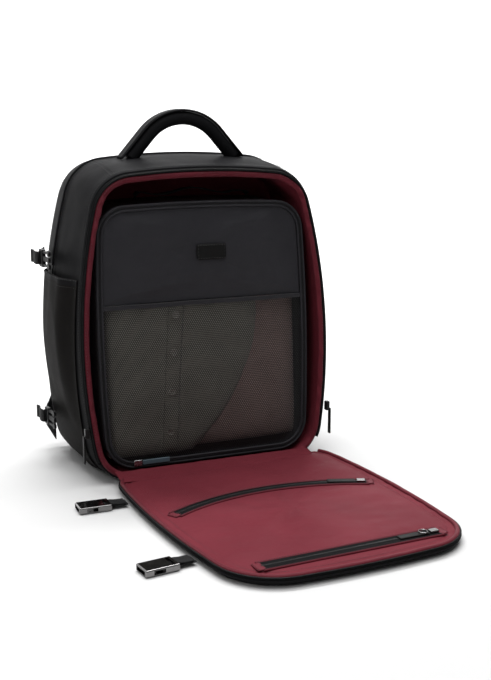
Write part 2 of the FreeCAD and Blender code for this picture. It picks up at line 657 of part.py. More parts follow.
os.makedirs("parts", exist_ok=True)
build_shell()
build_lining()
build_handle()
build_back_pads()
build_shoulder_straps()
build_side_pockets()
build_side_straps()
build_main_sliders()
build_flap()
build_pocket_zips()
build_flap_straps()
build_cube()
build_cube_contents()
build_cube_zip()
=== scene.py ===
"""Looks for the travel backpack: cloth, straps, zips and buckles built around the frame. Metres, +Z up."""
import math

import bmesh
import bpy
import numpy as np
from mathutils import Matrix, Vector, noise


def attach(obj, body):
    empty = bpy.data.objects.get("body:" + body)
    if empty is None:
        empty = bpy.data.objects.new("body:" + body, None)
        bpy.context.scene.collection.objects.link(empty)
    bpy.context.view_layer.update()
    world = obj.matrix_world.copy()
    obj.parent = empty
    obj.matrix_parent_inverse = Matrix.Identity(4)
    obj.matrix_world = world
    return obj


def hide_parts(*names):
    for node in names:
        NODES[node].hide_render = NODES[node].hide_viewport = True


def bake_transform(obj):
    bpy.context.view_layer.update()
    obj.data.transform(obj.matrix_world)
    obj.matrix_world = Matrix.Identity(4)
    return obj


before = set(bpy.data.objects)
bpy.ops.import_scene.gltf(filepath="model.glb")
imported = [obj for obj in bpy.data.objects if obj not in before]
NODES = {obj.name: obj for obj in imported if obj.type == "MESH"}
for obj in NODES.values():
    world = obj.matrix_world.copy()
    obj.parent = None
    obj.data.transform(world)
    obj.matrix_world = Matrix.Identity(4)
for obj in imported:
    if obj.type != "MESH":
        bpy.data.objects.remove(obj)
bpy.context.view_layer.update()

# ---- driving dimensions, as in the model ----------------------------------------------------
RIM_HALF_WIDTH = 0.190
RIM_HEIGHT = 0.438
WIDEST_Z = 0.185
SIDE_RADIUS = 0.820
TOP_RADIUS = 1.100
CORNER_RADIUS = 0.062
FOOT_RADIUS = 0.057
RIM_Y_BOTTOM = -0.118
RIM_Y_TOP = -0.089
SEAM_Y = 0.024
BACK_TURN_Y = 0.062               # the shell starts to close in here
BACK_SPLIT_Y = 0.084              # the back panel is sewn on here
BACK_Y = 0.094
CLEAR = 0.0003                    # sewn shells stand this far apart
WALL = 0.006
DOME_TOP = 0.016
DOME_SIDE = 0.0095
FLAP_HALF_WIDTH = 0.176
FLAP_HEIGHT = 0.432
FLAP_SIDE_RADIUS = 1.400
FLAP_SEAM_PULL = 0.004            # the sewn edge draws the cloth in from the modelled solid
FLAP_SWAY = math.radians(2.6)
SWAY_PIVOT = Vector((0.0, 0.105, 0.0))
HINGE_Y = -0.1235
HINGE_Z = 0.014
CUBE_HALF_WIDTH = 0.162
CUBE_BOTTOM_Z = 0.0155
CUBE_TOP_Z = 0.391
CUBE_SET_BACK = 0.008
CUBE_BACK_Y = 0.014
HEM_Z = 0.247
POCKET_TOP_Z = 0.288
POCKET_FRONT_Y = -0.072
POCKET_BACK_Y = 0.050
STRAP_LOW_Z = 0.092
STRAP_HIGH_Z = 0.308
WEBBING_WIDTH = 0.020
WEBBING = 0.0018
TILT = (RIM_Y_TOP - RIM_Y_BOTTOM) / RIM_HEIGHT
SIDES = (("left", -1.0), ("right", 1.0))


# ---- outlines -------------------------------------------------------------------------------
def circle_crossing(c0, r0, c1, r1):
    """Right-hand crossing of two circles."""
    gap = c1 - c0
    d = np.linalg.norm(gap)
    along = (r0 * r0 - r1 * r1 + d * d) / (2 * d)
    across = math.sqrt(r0 * r0 - along * along)
    unit = gap / d
    normal = np.array([-unit[1], unit[0]])
    return max((c0 + unit * along + normal * k for k in (across, -across)), key=lambda p: p[0])


def arc_points(centre, radius, start, end, count):
    """Points along an arc between two directions given as points; the end is left out."""
    a0 = math.atan2(start[1] - centre[1], start[0] - centre[0])
    a1 = math.atan2(end[1] - centre[1], end[0] - centre[0])
    angles = a0 + (a1 - a0) * np.arange(count) / count
    normals = np.stack([np.cos(angles), np.sin(angles)], 1)
    return centre + radius * normals, normals


class Outline:
    """Flat foot, rounded lower corners, bulged sides, rounded upper corners and a low crown."""

    COUNTS = (14, 16, 46, 18, 26)      # samples on half the loop: foot, corner, side, corner, crown

    def __init__(self, half_width, height, foot=0.0, widest=WIDEST_Z, side=SIDE_RADIUS,
                 top=TOP_RADIUS, corner=CORNER_RADIUS, foot_radius=FOOT_RADIUS):
        self.foot, self.side, self.top, self.corner, self.foot_radius = foot, side, top, corner, foot_radius
        self.side_c = np.array([half_width - side, widest])
        self.top_c = np.array([0.0, height - top])
        self.corner_c = circle_crossing(self.side_c, side - corner, self.top_c, top - corner)
        low = foot + foot_radius
        foot_x = self.side_c[0] + math.sqrt((side - foot_radius) ** 2 - (low - widest) ** 2)
        self.foot_c = np.array([foot_x, low])

    def half(self, inset):
        def beyond(centre, through, radius):
            return centre + (through - centre) / np.linalg.norm(through - centre) * radius

        n = self.COUNTS
        p_foot = np.array([self.foot_c[0], self.foot + inset])
        p_low = beyond(self.side_c, self.foot_c, self.side - inset)
        p_high = beyond(self.side_c, self.corner_c, self.side - inset)
        p_top = beyond(self.top_c, self.corner_c, self.top - inset)
        crown = np.array([0.0, self.top_c[1] + self.top - inset])
        foot = np.stack([p_foot[0] * np.arange(n[0]) / n[0], np.full(n[0], p_foot[1])], 1)
        runs = [(foot, np.tile([0.0, -1.0], (n[0], 1)))]
        for centre, radius, a, b, count in ((self.foot_c, self.foot_radius - inset, p_foot, p_low, n[1]),
                                            (self.side_c, self.side - inset, p_low, p_high, n[2]),
                                            (self.corner_c, self.corner - inset, p_high, p_top, n[3]),
                                            (self.top_c, self.top - inset, p_top, crown, n[4])):
            runs.append(arc_points(centre, radius, a, b, count))
        runs.append((crown[None], np.array([[0.0, 1.0]])))
        return np.concatenate([r[0] for r in runs]), np.concatenate([r[1] for r in runs])

    def loop(self, inset=0.0, count=None):
        """Closed loop from the middle of the foot, up the +X side: points and outward normals in XZ."""
        points, normals = self.half(inset)
        flip = np.array([-1.0, 1.0])
        points = np.concatenate([points, (points * flip)[-2:0:-1]])
        normals = np.concatenate([normals, (normals * flip)[-2:0:-1]])
        if count is None:
            return points, normals
        both = resample(np.concatenate([points, normals], 1), count, closed=True, measure=2)
        return both[:, :2], both[:, 2:] / np.linalg.norm(both[:, 2:], axis=1, keepdims=True)

    def clipped(self, inset=0.0, low=-1.0, high=9.0, count=240):
        """Closed loop of the part of the outline between two heights, evenly spaced."""
        points, _ = self.loop(inset, 900)
        start = int(np.argmax(points[:, 0]))
        points = np.roll(points, -start, 0)
        kept = np.stack([points[:, 0], np.clip(points[:, 1], low, high)], 1)
        step = np.linalg.norm(np.diff(kept, axis=0, append=kept[:1]), axis=1)
        return resample(kept[step > 1e-9], count, closed=True)

    def span(self, x, inset=0.0):
        """Lowest and highest z of the outline above each x."""
        points, _ = self.half(inset)
        turn = int(np.argmax(points[:, 0]))
        x = np.abs(x)
        low = np.interp(x, points[:turn + 1, 0], points[:turn + 1, 1])
        high = np.interp(x, points[turn:, 0][::-1], points[turn:, 1][::-1])
        return low, high


RIM = Outline(RIM_HALF_WIDTH, RIM_HEIGHT)
SEAM = Outline(RIM_HALF_WIDTH + DOME_SIDE, RIM_HEIGHT + DOME_TOP)
FLAP = Outline(FLAP_HALF_WIDTH, FLAP_HEIGHT - FLAP_SEAM_PULL, side=FLAP_SIDE_RADIUS, corner=0.080)
CUBE = Outline(CUBE_HALF_WIDTH, CUBE_TOP_Z, foot=CUBE_BOTTOM_Z, widest=0.2, side=2.6, top=2.6,
               corner=0.044, foot_radius=0.046)


def rim_y(z):
    return RIM_Y_BOTTOM + TILT * np.asarray(z, float)


def smooth(edge0, edge1, x):
    t = np.clip((np.asarray(x, float) - edge0) / (edge1 - edge0), 0, 1)
    return t * t * (3 - 2 * t)


def bell(x, width):
    return np.exp(-(np.asarray(x, float) / width) ** 2)


def rumple(points, wavelength, seed=0.0):
    """Smooth noise from -1 to 1 at each point."""
    offset = Vector((seed * 7.31, seed * 3.17, seed * 5.03))
    flat = np.asarray(points, float).reshape(-1, 3) / wavelength
    values = [noise.noise(Vector(p) + offset) for p in flat]
    return np.array(values).reshape(np.asarray(points).shape[:-1])


# ---- materials ------------------------------------------------------------------------------
class Shader:
    """A Principled material with a small kit for procedural detail in the piece's own coordinates."""

    def __init__(self, name, colour, roughness, **sockets):
        self.mat = bpy.data.materials.new(name)
        self.mat.use_nodes = True
        self.tree = self.mat.node_tree
        self.bsdf = self.tree.nodes["Principled BSDF"]
        self.bsdf.inputs["Base Color"].default_value = (*colour, 1)
        self.bsdf.inputs["Roughness"].default_value = roughness
        for key, value in sockets.items():
            self.bsdf.inputs[key.replace("_", " ")].default_value = value
        self.colour = colour
        coords = self.tree.nodes.new("ShaderNodeTexCoord")
        self.object = coords.outputs["Object"]
        self.uv = coords.outputs["UV"]
        self.height = None

    def node(self, kind, inputs=(), **settings):
        made = self.tree.nodes.new(kind)
        for key, value in settings.items():
            setattr(made, key, value)
        for key, value in dict(inputs).items():
            if isinstance(value, bpy.types.NodeSocket):
                self.tree.links.new(value, made.inputs[key])
            else:
                made.inputs[key].default_value = value
        return made

    def math(self, operation, a, b=0.0, c=0.0):
        return self.node("ShaderNodeMath", {0: a, 1: b, 2: c}, operation=operation).outputs[0]

    def noise(self, period, detail):
        inputs = {"Vector": self.object, "Scale": 1 / period, "Detail": detail, "Roughness": 0.5}
        return self.node("ShaderNodeTexNoise", inputs).outputs["Fac"]

    def cells(self, period):
        inputs = {"Vector": self.object, "Scale": 1 / period}
        return self.node("ShaderNodeTexVoronoi", inputs).outputs["Distance"]

    def bands(self, period):
        """Ribs across the piece's length."""
        split = self.node("ShaderNodeSeparateXYZ", {0: self.uv})
        value = self.math("MULTIPLY", split.outputs[0], 2 * math.pi / period)
        return self.math("MULTIPLY_ADD", self.math("SINE", value), 0.5, 0.5)

    def weave(self, period):
        """Plain weave: warp and weft ridges that trade places."""
        split = self.node("ShaderNodeSeparateXYZ", {0: self.uv})
        k = 2 * math.pi / period
        u = self.math("MULTIPLY", split.outputs[0], k)
        v = self.math("MULTIPLY", split.outputs[1], k)
        checks = self.math("MULTIPLY", self.math("SINE", u), self.math("SINE", v))
        return self.math("MULTIPLY_ADD", checks, 0.5, 0.5)

    def twill(self, period):
        """Diagonal ribs with the threads' cross ridges."""
        split = self.node("ShaderNodeSeparateXYZ", {0: self.uv})
        k = 2 * math.pi / period
        diagonal = self.math("MULTIPLY", self.math("ADD", split.outputs[0], split.outputs[1]), k)
        across = self.math("MULTIPLY", split.outputs[0], 2 * k)
        ribs = self.math("SINE", diagonal)
        return self.math("ADD", self.math("MULTIPLY_ADD", ribs, 0.35, 0.5),
                         self.math("MULTIPLY", self.math("SINE", across), 0.15))

    def relief(self, value, depth):
        """Adds a height pattern, its depth in metres."""
        scaled = self.math("MULTIPLY", value, depth)
        self.height = scaled if self.height is None else self.math("ADD", self.height, scaled)

    def tint(self, value, low, high):
        """Base colour between two multiples of the material's colour."""
        ends = [(*[min(1.0, c * k) for c in self.colour], 1) for k in (low, high)]
        mix = self.node("ShaderNodeMix", {0: value, 6: ends[0], 7: ends[1]}, data_type="RGBA")
        current = self.bsdf.inputs["Base Color"]
        if current.is_linked:
            grey = [(k, k, k, 1) for k in (low, high)]
            mix.inputs[6].default_value, mix.inputs[7].default_value = grey
            before = current.links[0].from_socket
            mix = self.node("ShaderNodeMix", {0: 1.0, 6: before, 7: mix.outputs[2]}, data_type="RGBA",
                            blend_type="MULTIPLY")
        self.tree.links.new(mix.outputs[2], current)

    def gloss(self, value, low, high):
        spread = self.node("ShaderNodeMapRange", {0: value, 3: low, 4: high})
        self.tree.links.new(spread.outputs[0], self.bsdf.inputs["Roughness"])

    def done(self):
        if self.height is not None:
            bump = self.node("ShaderNodeBump", {"Height": self.height, "Strength": 1.0, "Distance": 1.0})
            self.tree.links.new(bump.outputs[0], self.bsdf.inputs["Normal"])
        return self.mat


def make_materials():
    mats = {}

    def cloth(name, colour, roughness, **sockets):
        shader = Shader(name, colour, roughness, **sockets)
        mats[name] = shader
        return shader

    s = cloth("coated_cloth", (0.0085, 0.0085, 0.0092), 0.55, Sheen_Weight=0.005, Sheen_Roughness=0.4,
              Specular_IOR_Level=0.012)
    s.relief(s.noise(0.0009, 2.0), 0.00010)
    s.relief(s.noise(0.006, 3.0), 0.00012)
    s.tint(s.noise(0.05, 3.0), 0.82, 1.22)
    s.gloss(s.noise(0.03, 2.0), 0.44, 0.56)

    s = cloth("coated_cloth_warm", (0.0088, 0.0082, 0.0078), 0.58, Sheen_Weight=0.01, Sheen_Roughness=0.4,
              Specular_IOR_Level=0.012)
    s.relief(s.noise(0.0009, 2.0), 0.00010)
    s.relief(s.noise(0.008, 3.0), 0.00015)
    s.tint(s.noise(0.05, 3.0), 0.8, 1.25)
    s.gloss(s.noise(0.03, 2.0), 0.5, 0.62)

    s = cloth("lining_cloth", (0.122, 0.0185, 0.0270), 0.58, Sheen_Weight=0.02, Sheen_Roughness=0.45,
              Specular_IOR_Level=0.05)
    s.bsdf.inputs["Sheen Tint"].default_value = (0.95, 0.45, 0.5, 1)
    s.relief(s.twill(0.0011), 0.00012)
    s.relief(s.noise(0.012, 3.0), 0.0005)
    s.relief(s.noise(0.045, 3.0), 0.0026)
    s.tint(s.noise(0.06, 3.0), 0.85, 1.15)
    # painted light and shade: the twill's crowns lighter and its grooves darker, in step with its relief
    s.tint(s.twill(0.0011), 0.85, 1.12)
    s.gloss(s.noise(0.02, 2.0), 0.48, 0.62)

    s = cloth("lining_piping", (0.105, 0.014, 0.022), 0.52, Sheen_Weight=0.02, Specular_IOR_Level=0.08)
    s.relief(s.twill(0.0011), 0.00010)
    s.relief(s.noise(0.004, 2.0), 0.0003)
    s.tint(s.noise(0.02, 3.0), 0.8, 1.2)
    s.gloss(s.noise(0.02, 2.0), 0.42, 0.58)

    s = cloth("webbing_cloth", (0.0060, 0.0060, 0.0064), 0.62, Sheen_Weight=0.02, Specular_IOR_Level=0.12)
    s.relief(s.bands(0.0016), 0.00025)
    s.relief(s.weave(0.0012), 0.00015)
    # painted light and shade: the ribs' crowns lighter and the grooves between them darker, in step with the
    # relief
    s.tint(s.bands(0.0016), 0.7, 1.5)
    s.gloss(s.noise(0.01, 2.0), 0.55, 0.7)

    s = cloth("cube_nylon", (0.0180, 0.0176, 0.0210), 0.50, Sheen_Weight=0.02, Sheen_Roughness=0.4,
              Specular_IOR_Level=0.20)
    s.relief(s.weave(0.0010), 0.00008)
    s.relief(s.noise(0.02, 3.0), 0.0011)
    s.relief(s.noise(0.06, 3.0), 0.0030)
    # painted light and shade: the weave's crowns lighter and the gaps between threads darker, in step with its
    # relief
    s.tint(s.weave(0.0010), 0.85, 1.15)
    s.tint(s.noise(0.04, 3.0), 0.85, 1.18)
    s.gloss(s.noise(0.02, 2.0), 0.42, 0.56)

    s = cloth("net_thread", (0.0055, 0.0055, 0.0058), 0.5, Specular_IOR_Level=0.35)
    s.relief(s.noise(0.0006, 1.0), 0.0001)
    s.tint(s.noise(0.002, 2.0), 0.7, 1.4)
    s.gloss(s.noise(0.004, 2.0), 0.42, 0.6)

    s = cloth("zip_tape", (0.0052, 0.0052, 0.0056), 0.7, Specular_IOR_Level=0.04)
    s.relief(s.weave(0.0009), 0.00015)
    # painted light and shade: the weave's crowns lighter and the gaps between threads darker, in step with its
    # relief
    s.tint(s.weave(0.0009), 0.7, 1.4)
    s.gloss(s.noise(0.01, 2.0), 0.62, 0.78)

    s = cloth("zip_coil", (0.0060, 0.0060, 0.0064), 0.42, Specular_IOR_Level=0.15)
    s.relief(s.noise(0.0008, 1.0), 0.00008)
    s.tint(s.noise(0.004, 2.0), 0.8, 1.3)
    s.gloss(s.noise(0.004, 2.0), 0.32, 0.48)

    s = cloth("tab_leather", (0.0055, 0.0054, 0.0054), 0.48, Specular_IOR_Level=0.12)
    s.relief(s.cells(0.0011), 0.00018)
    s.tint(s.noise(0.006, 2.0), 0.75, 1.35)
    s.gloss(s.noise(0.003, 2.0), 0.38, 0.55)

    s = cloth("tab_slate", (0.048, 0.078, 0.098), 0.5, Sheen_Weight=0.2, Specular_IOR_Level=0.4)
    s.relief(s.weave(0.0010), 0.00015)
    s.tint(s.noise(0.006, 2.0), 0.8, 1.25)
    s.gloss(s.noise(0.004, 2.0), 0.42, 0.58)

    s = cloth("slider_metal", (0.34, 0.34, 0.35), 0.26, Metallic=1.0)
    s.relief(s.noise(0.0015, 2.0), 0.00004)
    s.tint(s.noise(0.004, 2.0), 0.75, 1.15)
    s.gloss(s.noise(0.003, 2.0), 0.16, 0.34)

    s = cloth("gunmetal", (0.17, 0.165, 0.165), 0.16, Metallic=1.0, Coat_Weight=0.35, Coat_Roughness=0.08)
    s.relief(s.noise(0.004, 2.0), 0.00005)
    s.tint(s.noise(0.01, 2.0), 0.8, 1.25)
    s.gloss(s.noise(0.006, 2.0), 0.10, 0.24)

    s = cloth("buckle_acetal", (0.0070, 0.0070, 0.0072), 0.40, Specular_IOR_Level=0.14)
    s.relief(s.noise(0.0008, 2.0), 0.00005)
    s.tint(s.noise(0.006, 2.0), 0.85, 1.25)
    s.gloss(s.noise(0.004, 2.0), 0.30, 0.44)

    s = cloth("spacer_mesh", (0.0080, 0.0080, 0.0084), 0.75, Sheen_Weight=0.06, Specular_IOR_Level=0.25)
    cells = s.cells(0.0028)
    s.relief(cells, 0.0009)
    # painted shade and highlight: the cells' hollows darker and their ridges lighter, from the same cells as
    # the relief
    s.tint(cells, 0.35, 1.9)
    s.gloss(s.noise(0.01, 2.0), 0.68, 0.82)

    s = cloth("shirt_cloth", (0.172, 0.166, 0.142), 0.85, Sheen_Weight=0.25, Specular_IOR_Level=0.2)
    s.relief(s.weave(0.0014), 0.00022)
    s.relief(s.noise(0.03, 4.0), 0.0016)
    s.tint(s.noise(0.04, 3.0), 0.75, 1.2)
    s.gloss(s.noise(0.02, 2.0), 0.8, 0.92)

    s = cloth("garment_knit", (0.225, 0.160, 0.145), 0.88, Sheen_Weight=0.3, Specular_IOR_Level=0.2)
    s.relief(s.bands(0.0030), 0.0005)
    s.relief(s.noise(0.03, 3.0), 0.0015)
    s.tint(s.noise(0.05, 3.0), 0.75, 1.2)
    s.gloss(s.noise(0.02, 2.0), 0.82, 0.95)

    s = cloth("button_horn", (0.210, 0.200, 0.175), 0.3, Specular_IOR_Level=0.5)
    s.relief(s.noise(0.002, 2.0), 0.00005)
    s.tint(s.noise(0.003, 3.0), 0.6, 1.4)
    s.gloss(s.noise(0.003, 2.0), 0.25, 0.4)

    s = cloth("thread_black", (0.0120, 0.0120, 0.0125), 0.6)
    s.relief(s.noise(0.0005, 1.0), 0.00005)
    s.tint(s.noise(0.002, 1.0), 0.7, 1.5)
    s = cloth("thread_burgundy", (0.075, 0.010, 0.018), 0.6)
    s.relief(s.noise(0.0005, 1.0), 0.00005)
    s.tint(s.noise(0.002, 1.0), 0.7, 1.4)

    s = cloth("board", (0.012, 0.012, 0.012), 0.6)
    s.relief(s.noise(0.001, 2.0), 0.00006)
    s.tint(s.noise(0.02, 2.0), 0.8, 1.3)
    s.gloss(s.noise(0.01, 2.0), 0.5, 0.7)

    s = cloth("floor_paper", (0.520, 0.520, 0.520), 0.9, Specular_IOR_Level=0.05)
    s.tint(s.noise(0.5, 2.0), 0.995, 1.0)
    return {name: shader.done() for name, shader in mats.items()}


MAT = make_materials()


# ---- mesh tools -----------------------------------------------------------------------------
SWAYED_BODIES = ["flap", "curved_slider", "curved_tab", "straight_slider", "straight_tab"]
SWAYED_BODIES += ["flap_strap_" + name for name in ("lower_left", "upper_left", "lower_right", "upper_right")]


def swayed(points, way=1.0):
    """Front-panel pieces are drawn straight, then leaned in the plane they lie in (way -1 undoes it)."""
    turn = np.array(Matrix.Rotation(way * FLAP_SWAY, 3, "Z"))
    pivot = np.array(SWAY_PIVOT)
    return (np.asarray(points, float) - pivot) @ turn.T + pivot


def piece(name, verts, faces, material, body, slot=None, uv=None, smooth_faces=True, replaces=()):
    """A finished mesh object that rides on a body."""
    if body in SWAYED_BODIES:
        verts = swayed(verts)
    mesh = bpy.data.meshes.new(name)
    mesh.from_pydata([tuple(v) for v in np.asarray(verts, float)], [], [tuple(map(int, f)) for f in faces])
    mesh.materials.append(MAT[material])
    if uv is not None:
        layer = mesh.uv_layers.new(name="UVMap")
        index = np.zeros(len(mesh.loops), np.int32)
        mesh.loops.foreach_get("vertex_index", index)
        layer.data.foreach_set("uv", np.asarray(uv, np.float32)[index].ravel())
    mesh.polygons.foreach_set("use_smooth", np.full(len(mesh.polygons), smooth_faces))
    bm = bmesh.new()
    bm.from_mesh(mesh)
    bmesh.ops.recalc_face_normals(bm, faces=bm.faces)
    bm.to_mesh(mesh)
    bm.free()
    mesh.update()
    obj = bpy.data.objects.new(name, mesh)
    bpy.context.scene.collection.objects.link(obj)
    if body:
        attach(obj, body)
    if replaces:
        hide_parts(*replaces)
    return obj


def grid_faces(rows, cols, wrap_rows=False, wrap_cols=False, start=0):
    r = np.arange(rows if wrap_rows else rows - 1)
    c = np.arange(cols if wrap_cols else cols - 1)
    rr, cc = np.meshgrid(r, c, indexing="ij")
    a = rr * cols + cc
    b = rr * cols + (cc + 1) % cols
    d = ((rr + 1) % rows) * cols + cc
    e = ((rr + 1) % rows) * cols + (cc + 1) % cols
    return (np.stack([a, b, e, d], -1).reshape(-1, 4) + start).tolist()


def metric_uv(grid):
    """UVs in metres: length along the rows and along the columns."""
    along = np.linalg.norm(np.diff(grid, axis=1), axis=2)
    u = np.concatenate([np.zeros((grid.shape[0], 1)), np.cumsum(along, 1)], 1)
    across = np.linalg.norm(np.diff(grid, axis=0), axis=2)
    v = np.concatenate([np.zeros((1, grid.shape[1])), np.cumsum(across, 0)], 0)
    u = np.tile(u.mean(0), (grid.shape[0], 1))
    return np.stack([u, v], -1).reshape(-1, 2)


def surface(name, grid, material, body, wrap_cols=False, thickness=0.0, **more):
    """A grid of points (rows, cols, 3) as one smooth surface, given a thickness when it is cloth."""
    grid = np.asarray(grid, float)
    faces = grid_faces(grid.shape[0], grid.shape[1], wrap_cols=wrap_cols)
    obj = piece(name, grid.reshape(-1, 3), faces, material, body, uv=metric_uv(grid), **more)
    if thickness:
        solid = obj.modifiers.new("cloth", "SOLIDIFY")
        solid.thickness = thickness
        solid.offset = -1.0
        apply_modifiers(obj)
    return obj


def apply_modifiers(obj):
    graph = bpy.context.evaluated_depsgraph_get()
    graph.update()
    mesh = bpy.data.meshes.new_from_object(obj.evaluated_get(graph), depsgraph=graph)
    old = obj.data
    obj.modifiers.clear()
    obj.data = mesh
    bpy.data.meshes.remove(old)
    mesh.name = obj.name


def frames_along(path, closed, up):
    path = np.asarray(path, float)
    if closed:
        tangent = np.roll(path, -1, 0) - np.roll(path, 1, 0)
    else:
        tangent = np.gradient(path, axis=0)
    tangent /= np.linalg.norm(tangent, axis=1, keepdims=True)
    up = np.broadcast_to(np.asarray(up, float), path.shape)
    side = np.cross(tangent, up)
    side /= np.maximum(np.linalg.norm(side, axis=1, keepdims=True), 1e-9)
    return tangent, side, np.cross(side, tangent)


def tube(name, grid, material, body, closed=False, **more):
    """Rings of points (stations, around, 3) joined into one skin; open ends are capped with a fan."""
    grid = np.asarray(grid, float)
    count, around = grid.shape[:2]
    faces = grid_faces(count, around, closed, True)
    verts, uv = grid.reshape(-1, 3), metric_uv(grid)
    if not closed:
        for row in (0, count - 1):
            centre = len(verts)
            verts = np.concatenate([verts, grid[row].mean(0)[None]])
            uv = np.concatenate([uv, uv[row * around][None]])
            for i in range(around):
                faces.append((centre, row * around + i, row * around + (i + 1) % around))
    return piece(name, verts, faces, material, body, uv=uv[:, ::-1], **more)


def slab(name, top, bottom, material, body, **more):
    """Two matching grids (rows, cols, 3) joined round their borders."""
    top, bottom = np.asarray(top, float), np.asarray(bottom, float)
    rows, cols = top.shape[:2]
    faces = grid_faces(rows, cols) + grid_faces(rows, cols, start=rows * cols)
    border = [(0, j) for j in range(cols)] + [(i, cols - 1) for i in range(1, rows)]
    border += [(rows - 1, j) for j in range(cols - 2, -1, -1)] + [(i, 0) for i in range(rows - 2, 0, -1)]
    ids = [i * cols + j for i, j in border]
    for a, b in zip(ids, ids[1:] + ids[:1]):
        faces.append((a, b, b + rows * cols, a + rows * cols))
    uv = np.concatenate([metric_uv(top), metric_uv(bottom)])
    verts = np.concatenate([top.reshape(-1, 3), bottom.reshape(-1, 3)])
    return piece(name, verts, faces, material, body, uv=uv, **more)


def disc_rings(loop, inset_steps, shrink_steps):
    """A closed 2D loop carried inwards: first by true insets, then scaled to its middle."""
    centre = (loop.max(0) + loop.min(0)) / 2
    reach = np.linalg.norm(loop - centre, axis=1, keepdims=True)
    rings = [loop - (loop - centre) / reach * step for step in inset_steps]
    return rings + [centre + (rings[-1] - centre) * k for k in shrink_steps]


def sweep(name, path, profile, material, body, up=(0, 0, 1), closed=False, scale=None, **more):
    """A closed profile (across, up) carried along a path; open ends are capped with a fan."""
    path, profile = np.asarray(path, float), np.asarray(profile, float)
    _, side, normal = frames_along(path, closed, up)
    scale = np.ones((len(path), 2)) if scale is None else np.asarray(scale, float)
    grid = (path[:, None] + side[:, None] * (profile[None, :, :1] * scale[:, None, :1])
            + normal[:, None] * (profile[None, :, 1:] * scale[:, None, 1:]))
    return tube(name, grid, material, body, closed=closed, **more)


def round_profile(radius, count):
    a = np.arange(count) * 2 * math.pi / count
    return np.stack([radius * np.cos(a), radius * np.sin(a)], 1)


def strap_profile(width=WEBBING_WIDTH, thickness=WEBBING):
    """A flat band with rounded edges and extra points across for the weave."""
    half, r = width / 2 - thickness / 2, thickness / 2
    points = []
    for x0, start in ((half, -math.pi / 2), (-half, math.pi / 2)):
        for a in np.linspace(start, start + math.pi, 5):
            points.append((x0 + r * math.cos(a), r * math.sin(a)))
        across = np.linspace(x0, -x0, 8)[1:-1]
        points += [(x, r if x0 > 0 else -r) for x in across]
    return np.array(points)


def curve_through(points, count):
    """A smooth line through given points (Catmull-Rom), evenly spaced."""
    p = np.asarray(points, float)
    p = np.concatenate([[2 * p[0] - p[1]], p, [2 * p[-1] - p[-2]]])
    out = []
    for i in range(1, len(p) - 2):
        t = np.linspace(0, 1, 24, endpoint=False)[:, None]
        a, b, c, d = p[i - 1:i + 3]
        out.append(0.5 * (2 * b + (c - a) * t + (2 * a - 5 * b + 4 * c - d) * t ** 2
                          + (3 * b - a - 3 * c + d) * t ** 3))
    return resample(np.concatenate(out + [p[-2][None]]), count)


def resample(path, count, closed=False, measure=3):
    """Evenly spaced points; the spacing is measured over the first few columns."""
    path = np.asarray(path, float)
    if closed:
        path = np.concatenate([path, path[:1]])
    s = np.concatenate([[0], np.cumsum(np.linalg.norm(np.diff(path[:, :measure], axis=0), axis=1))])
    t = np.linspace(0, s[-1], count + 1)[:-1] if closed else np.linspace(0, s[-1], count)
    return np.stack([np.interp(t, s, path[:, k]) for k in range(path.shape[1])], 1)


def length_of(path):
    return float(np.linalg.norm(np.diff(np.asarray(path, float), axis=0), axis=1).sum())


def stitches(name, runs, material, body, pitch=0.0034, length=0.0024, radius=0.00034, slot=None):
    """Rows of thread: each run is (path, outward direction); every stitch is a small spindle."""
    ring = [(1, 0), (0, 1), (-1, 0), (0, -1)]
    stations = ((-0.5, 0.25, -0.35), (-0.22, 1.0, 0.55), (0.22, 1.0, 0.55), (0.5, 0.25, -0.35))
    faces_one = [(0, 3, 2, 1)]
    for k in range(3):
        for i in range(4):
            j = (i + 1) % 4
            faces_one.append((k * 4 + i, k * 4 + j, k * 4 + 4 + j, k * 4 + 4 + i))
    faces_one.append((12, 13, 14, 15))
    verts, faces = [], []
    for path, out in runs:
        count = max(2, int(length_of(path) / pitch))
        line = resample(path, count)
        tangent, side, normal = frames_along(line, False, out)
        for c, t, s, n in zip(line, tangent, side, normal):
            base = len(verts)
            for along, size, lift in stations:
                for a, b in ring:
                    verts.append(c + t * (along * length) + s * (a * size * radius)
                                 + n * ((b * size + lift) * radius))
            faces += [tuple(base + i for i in f) for f in faces_one]
    return piece(name, verts, faces, material, body, slot=slot, smooth_faces=False)


def coil(name, path, out, material, body, width=0.0042, height=0.0011, pitch=0.0016, slot=None):
    """Interlocked zip coil: a row of small arched bars across the line."""
    count = int(length_of(path) / pitch)
    line = resample(path, count)
    tangent, side, normal = frames_along(line, False, out)
    arch = np.array([(-0.5, 0.0), (-0.36, 0.8), (0.0, 1.0), (0.36, 0.8), (0.5, 0.0)])
    verts, faces = [], []
    for c, t, s, n in zip(line, tangent, side, normal):
        base = len(verts)
        for a, b in arch:
            for k in (-0.33, 0.33):
                verts.append(c + s * (a * width) + n * (b * height) + t * (k * pitch))
        top = len(verts)
        for a, b in arch:
            verts.append(c + s * (a * width * 0.94) + n * (b * height * 1.12 + 0.0001))
        for i in range(len(arch) - 1):
            for side_k in (0, 1):
                a, b = base + 2 * i + side_k, base + 2 * i + 2 + side_k
                quad = (a, b, top + i + 1, top + i)
                faces.append(quad if side_k else quad[::-1])
    return piece(name, verts, faces, material, body, slot=slot)


# ---- shell ----------------------------------------------------------------------------------
def shell_share(y):
    """Share of the dome at a depth, as in the model."""
    y = np.asarray(y, float)
    front = 1 - ((y - SEAM_Y) / (SEAM_Y - RIM_Y_TOP + 0.008)) ** 2
    turn = np.maximum(0, (y - BACK_TURN_Y) / (BACK_Y - BACK_TURN_Y))
    return np.where(y <= SEAM_Y, front, 1 - 0.35 * ((y - SEAM_Y) / 0.060) ** 2 - 1.5 * turn ** 3)


LOOP_COUNT = 420
RIM_LOOP, RIM_NORMALS = RIM.loop(0.0, LOOP_COUNT)
SEAM_LOOP = SEAM.loop(0.0, LOOP_COUNT)[0]


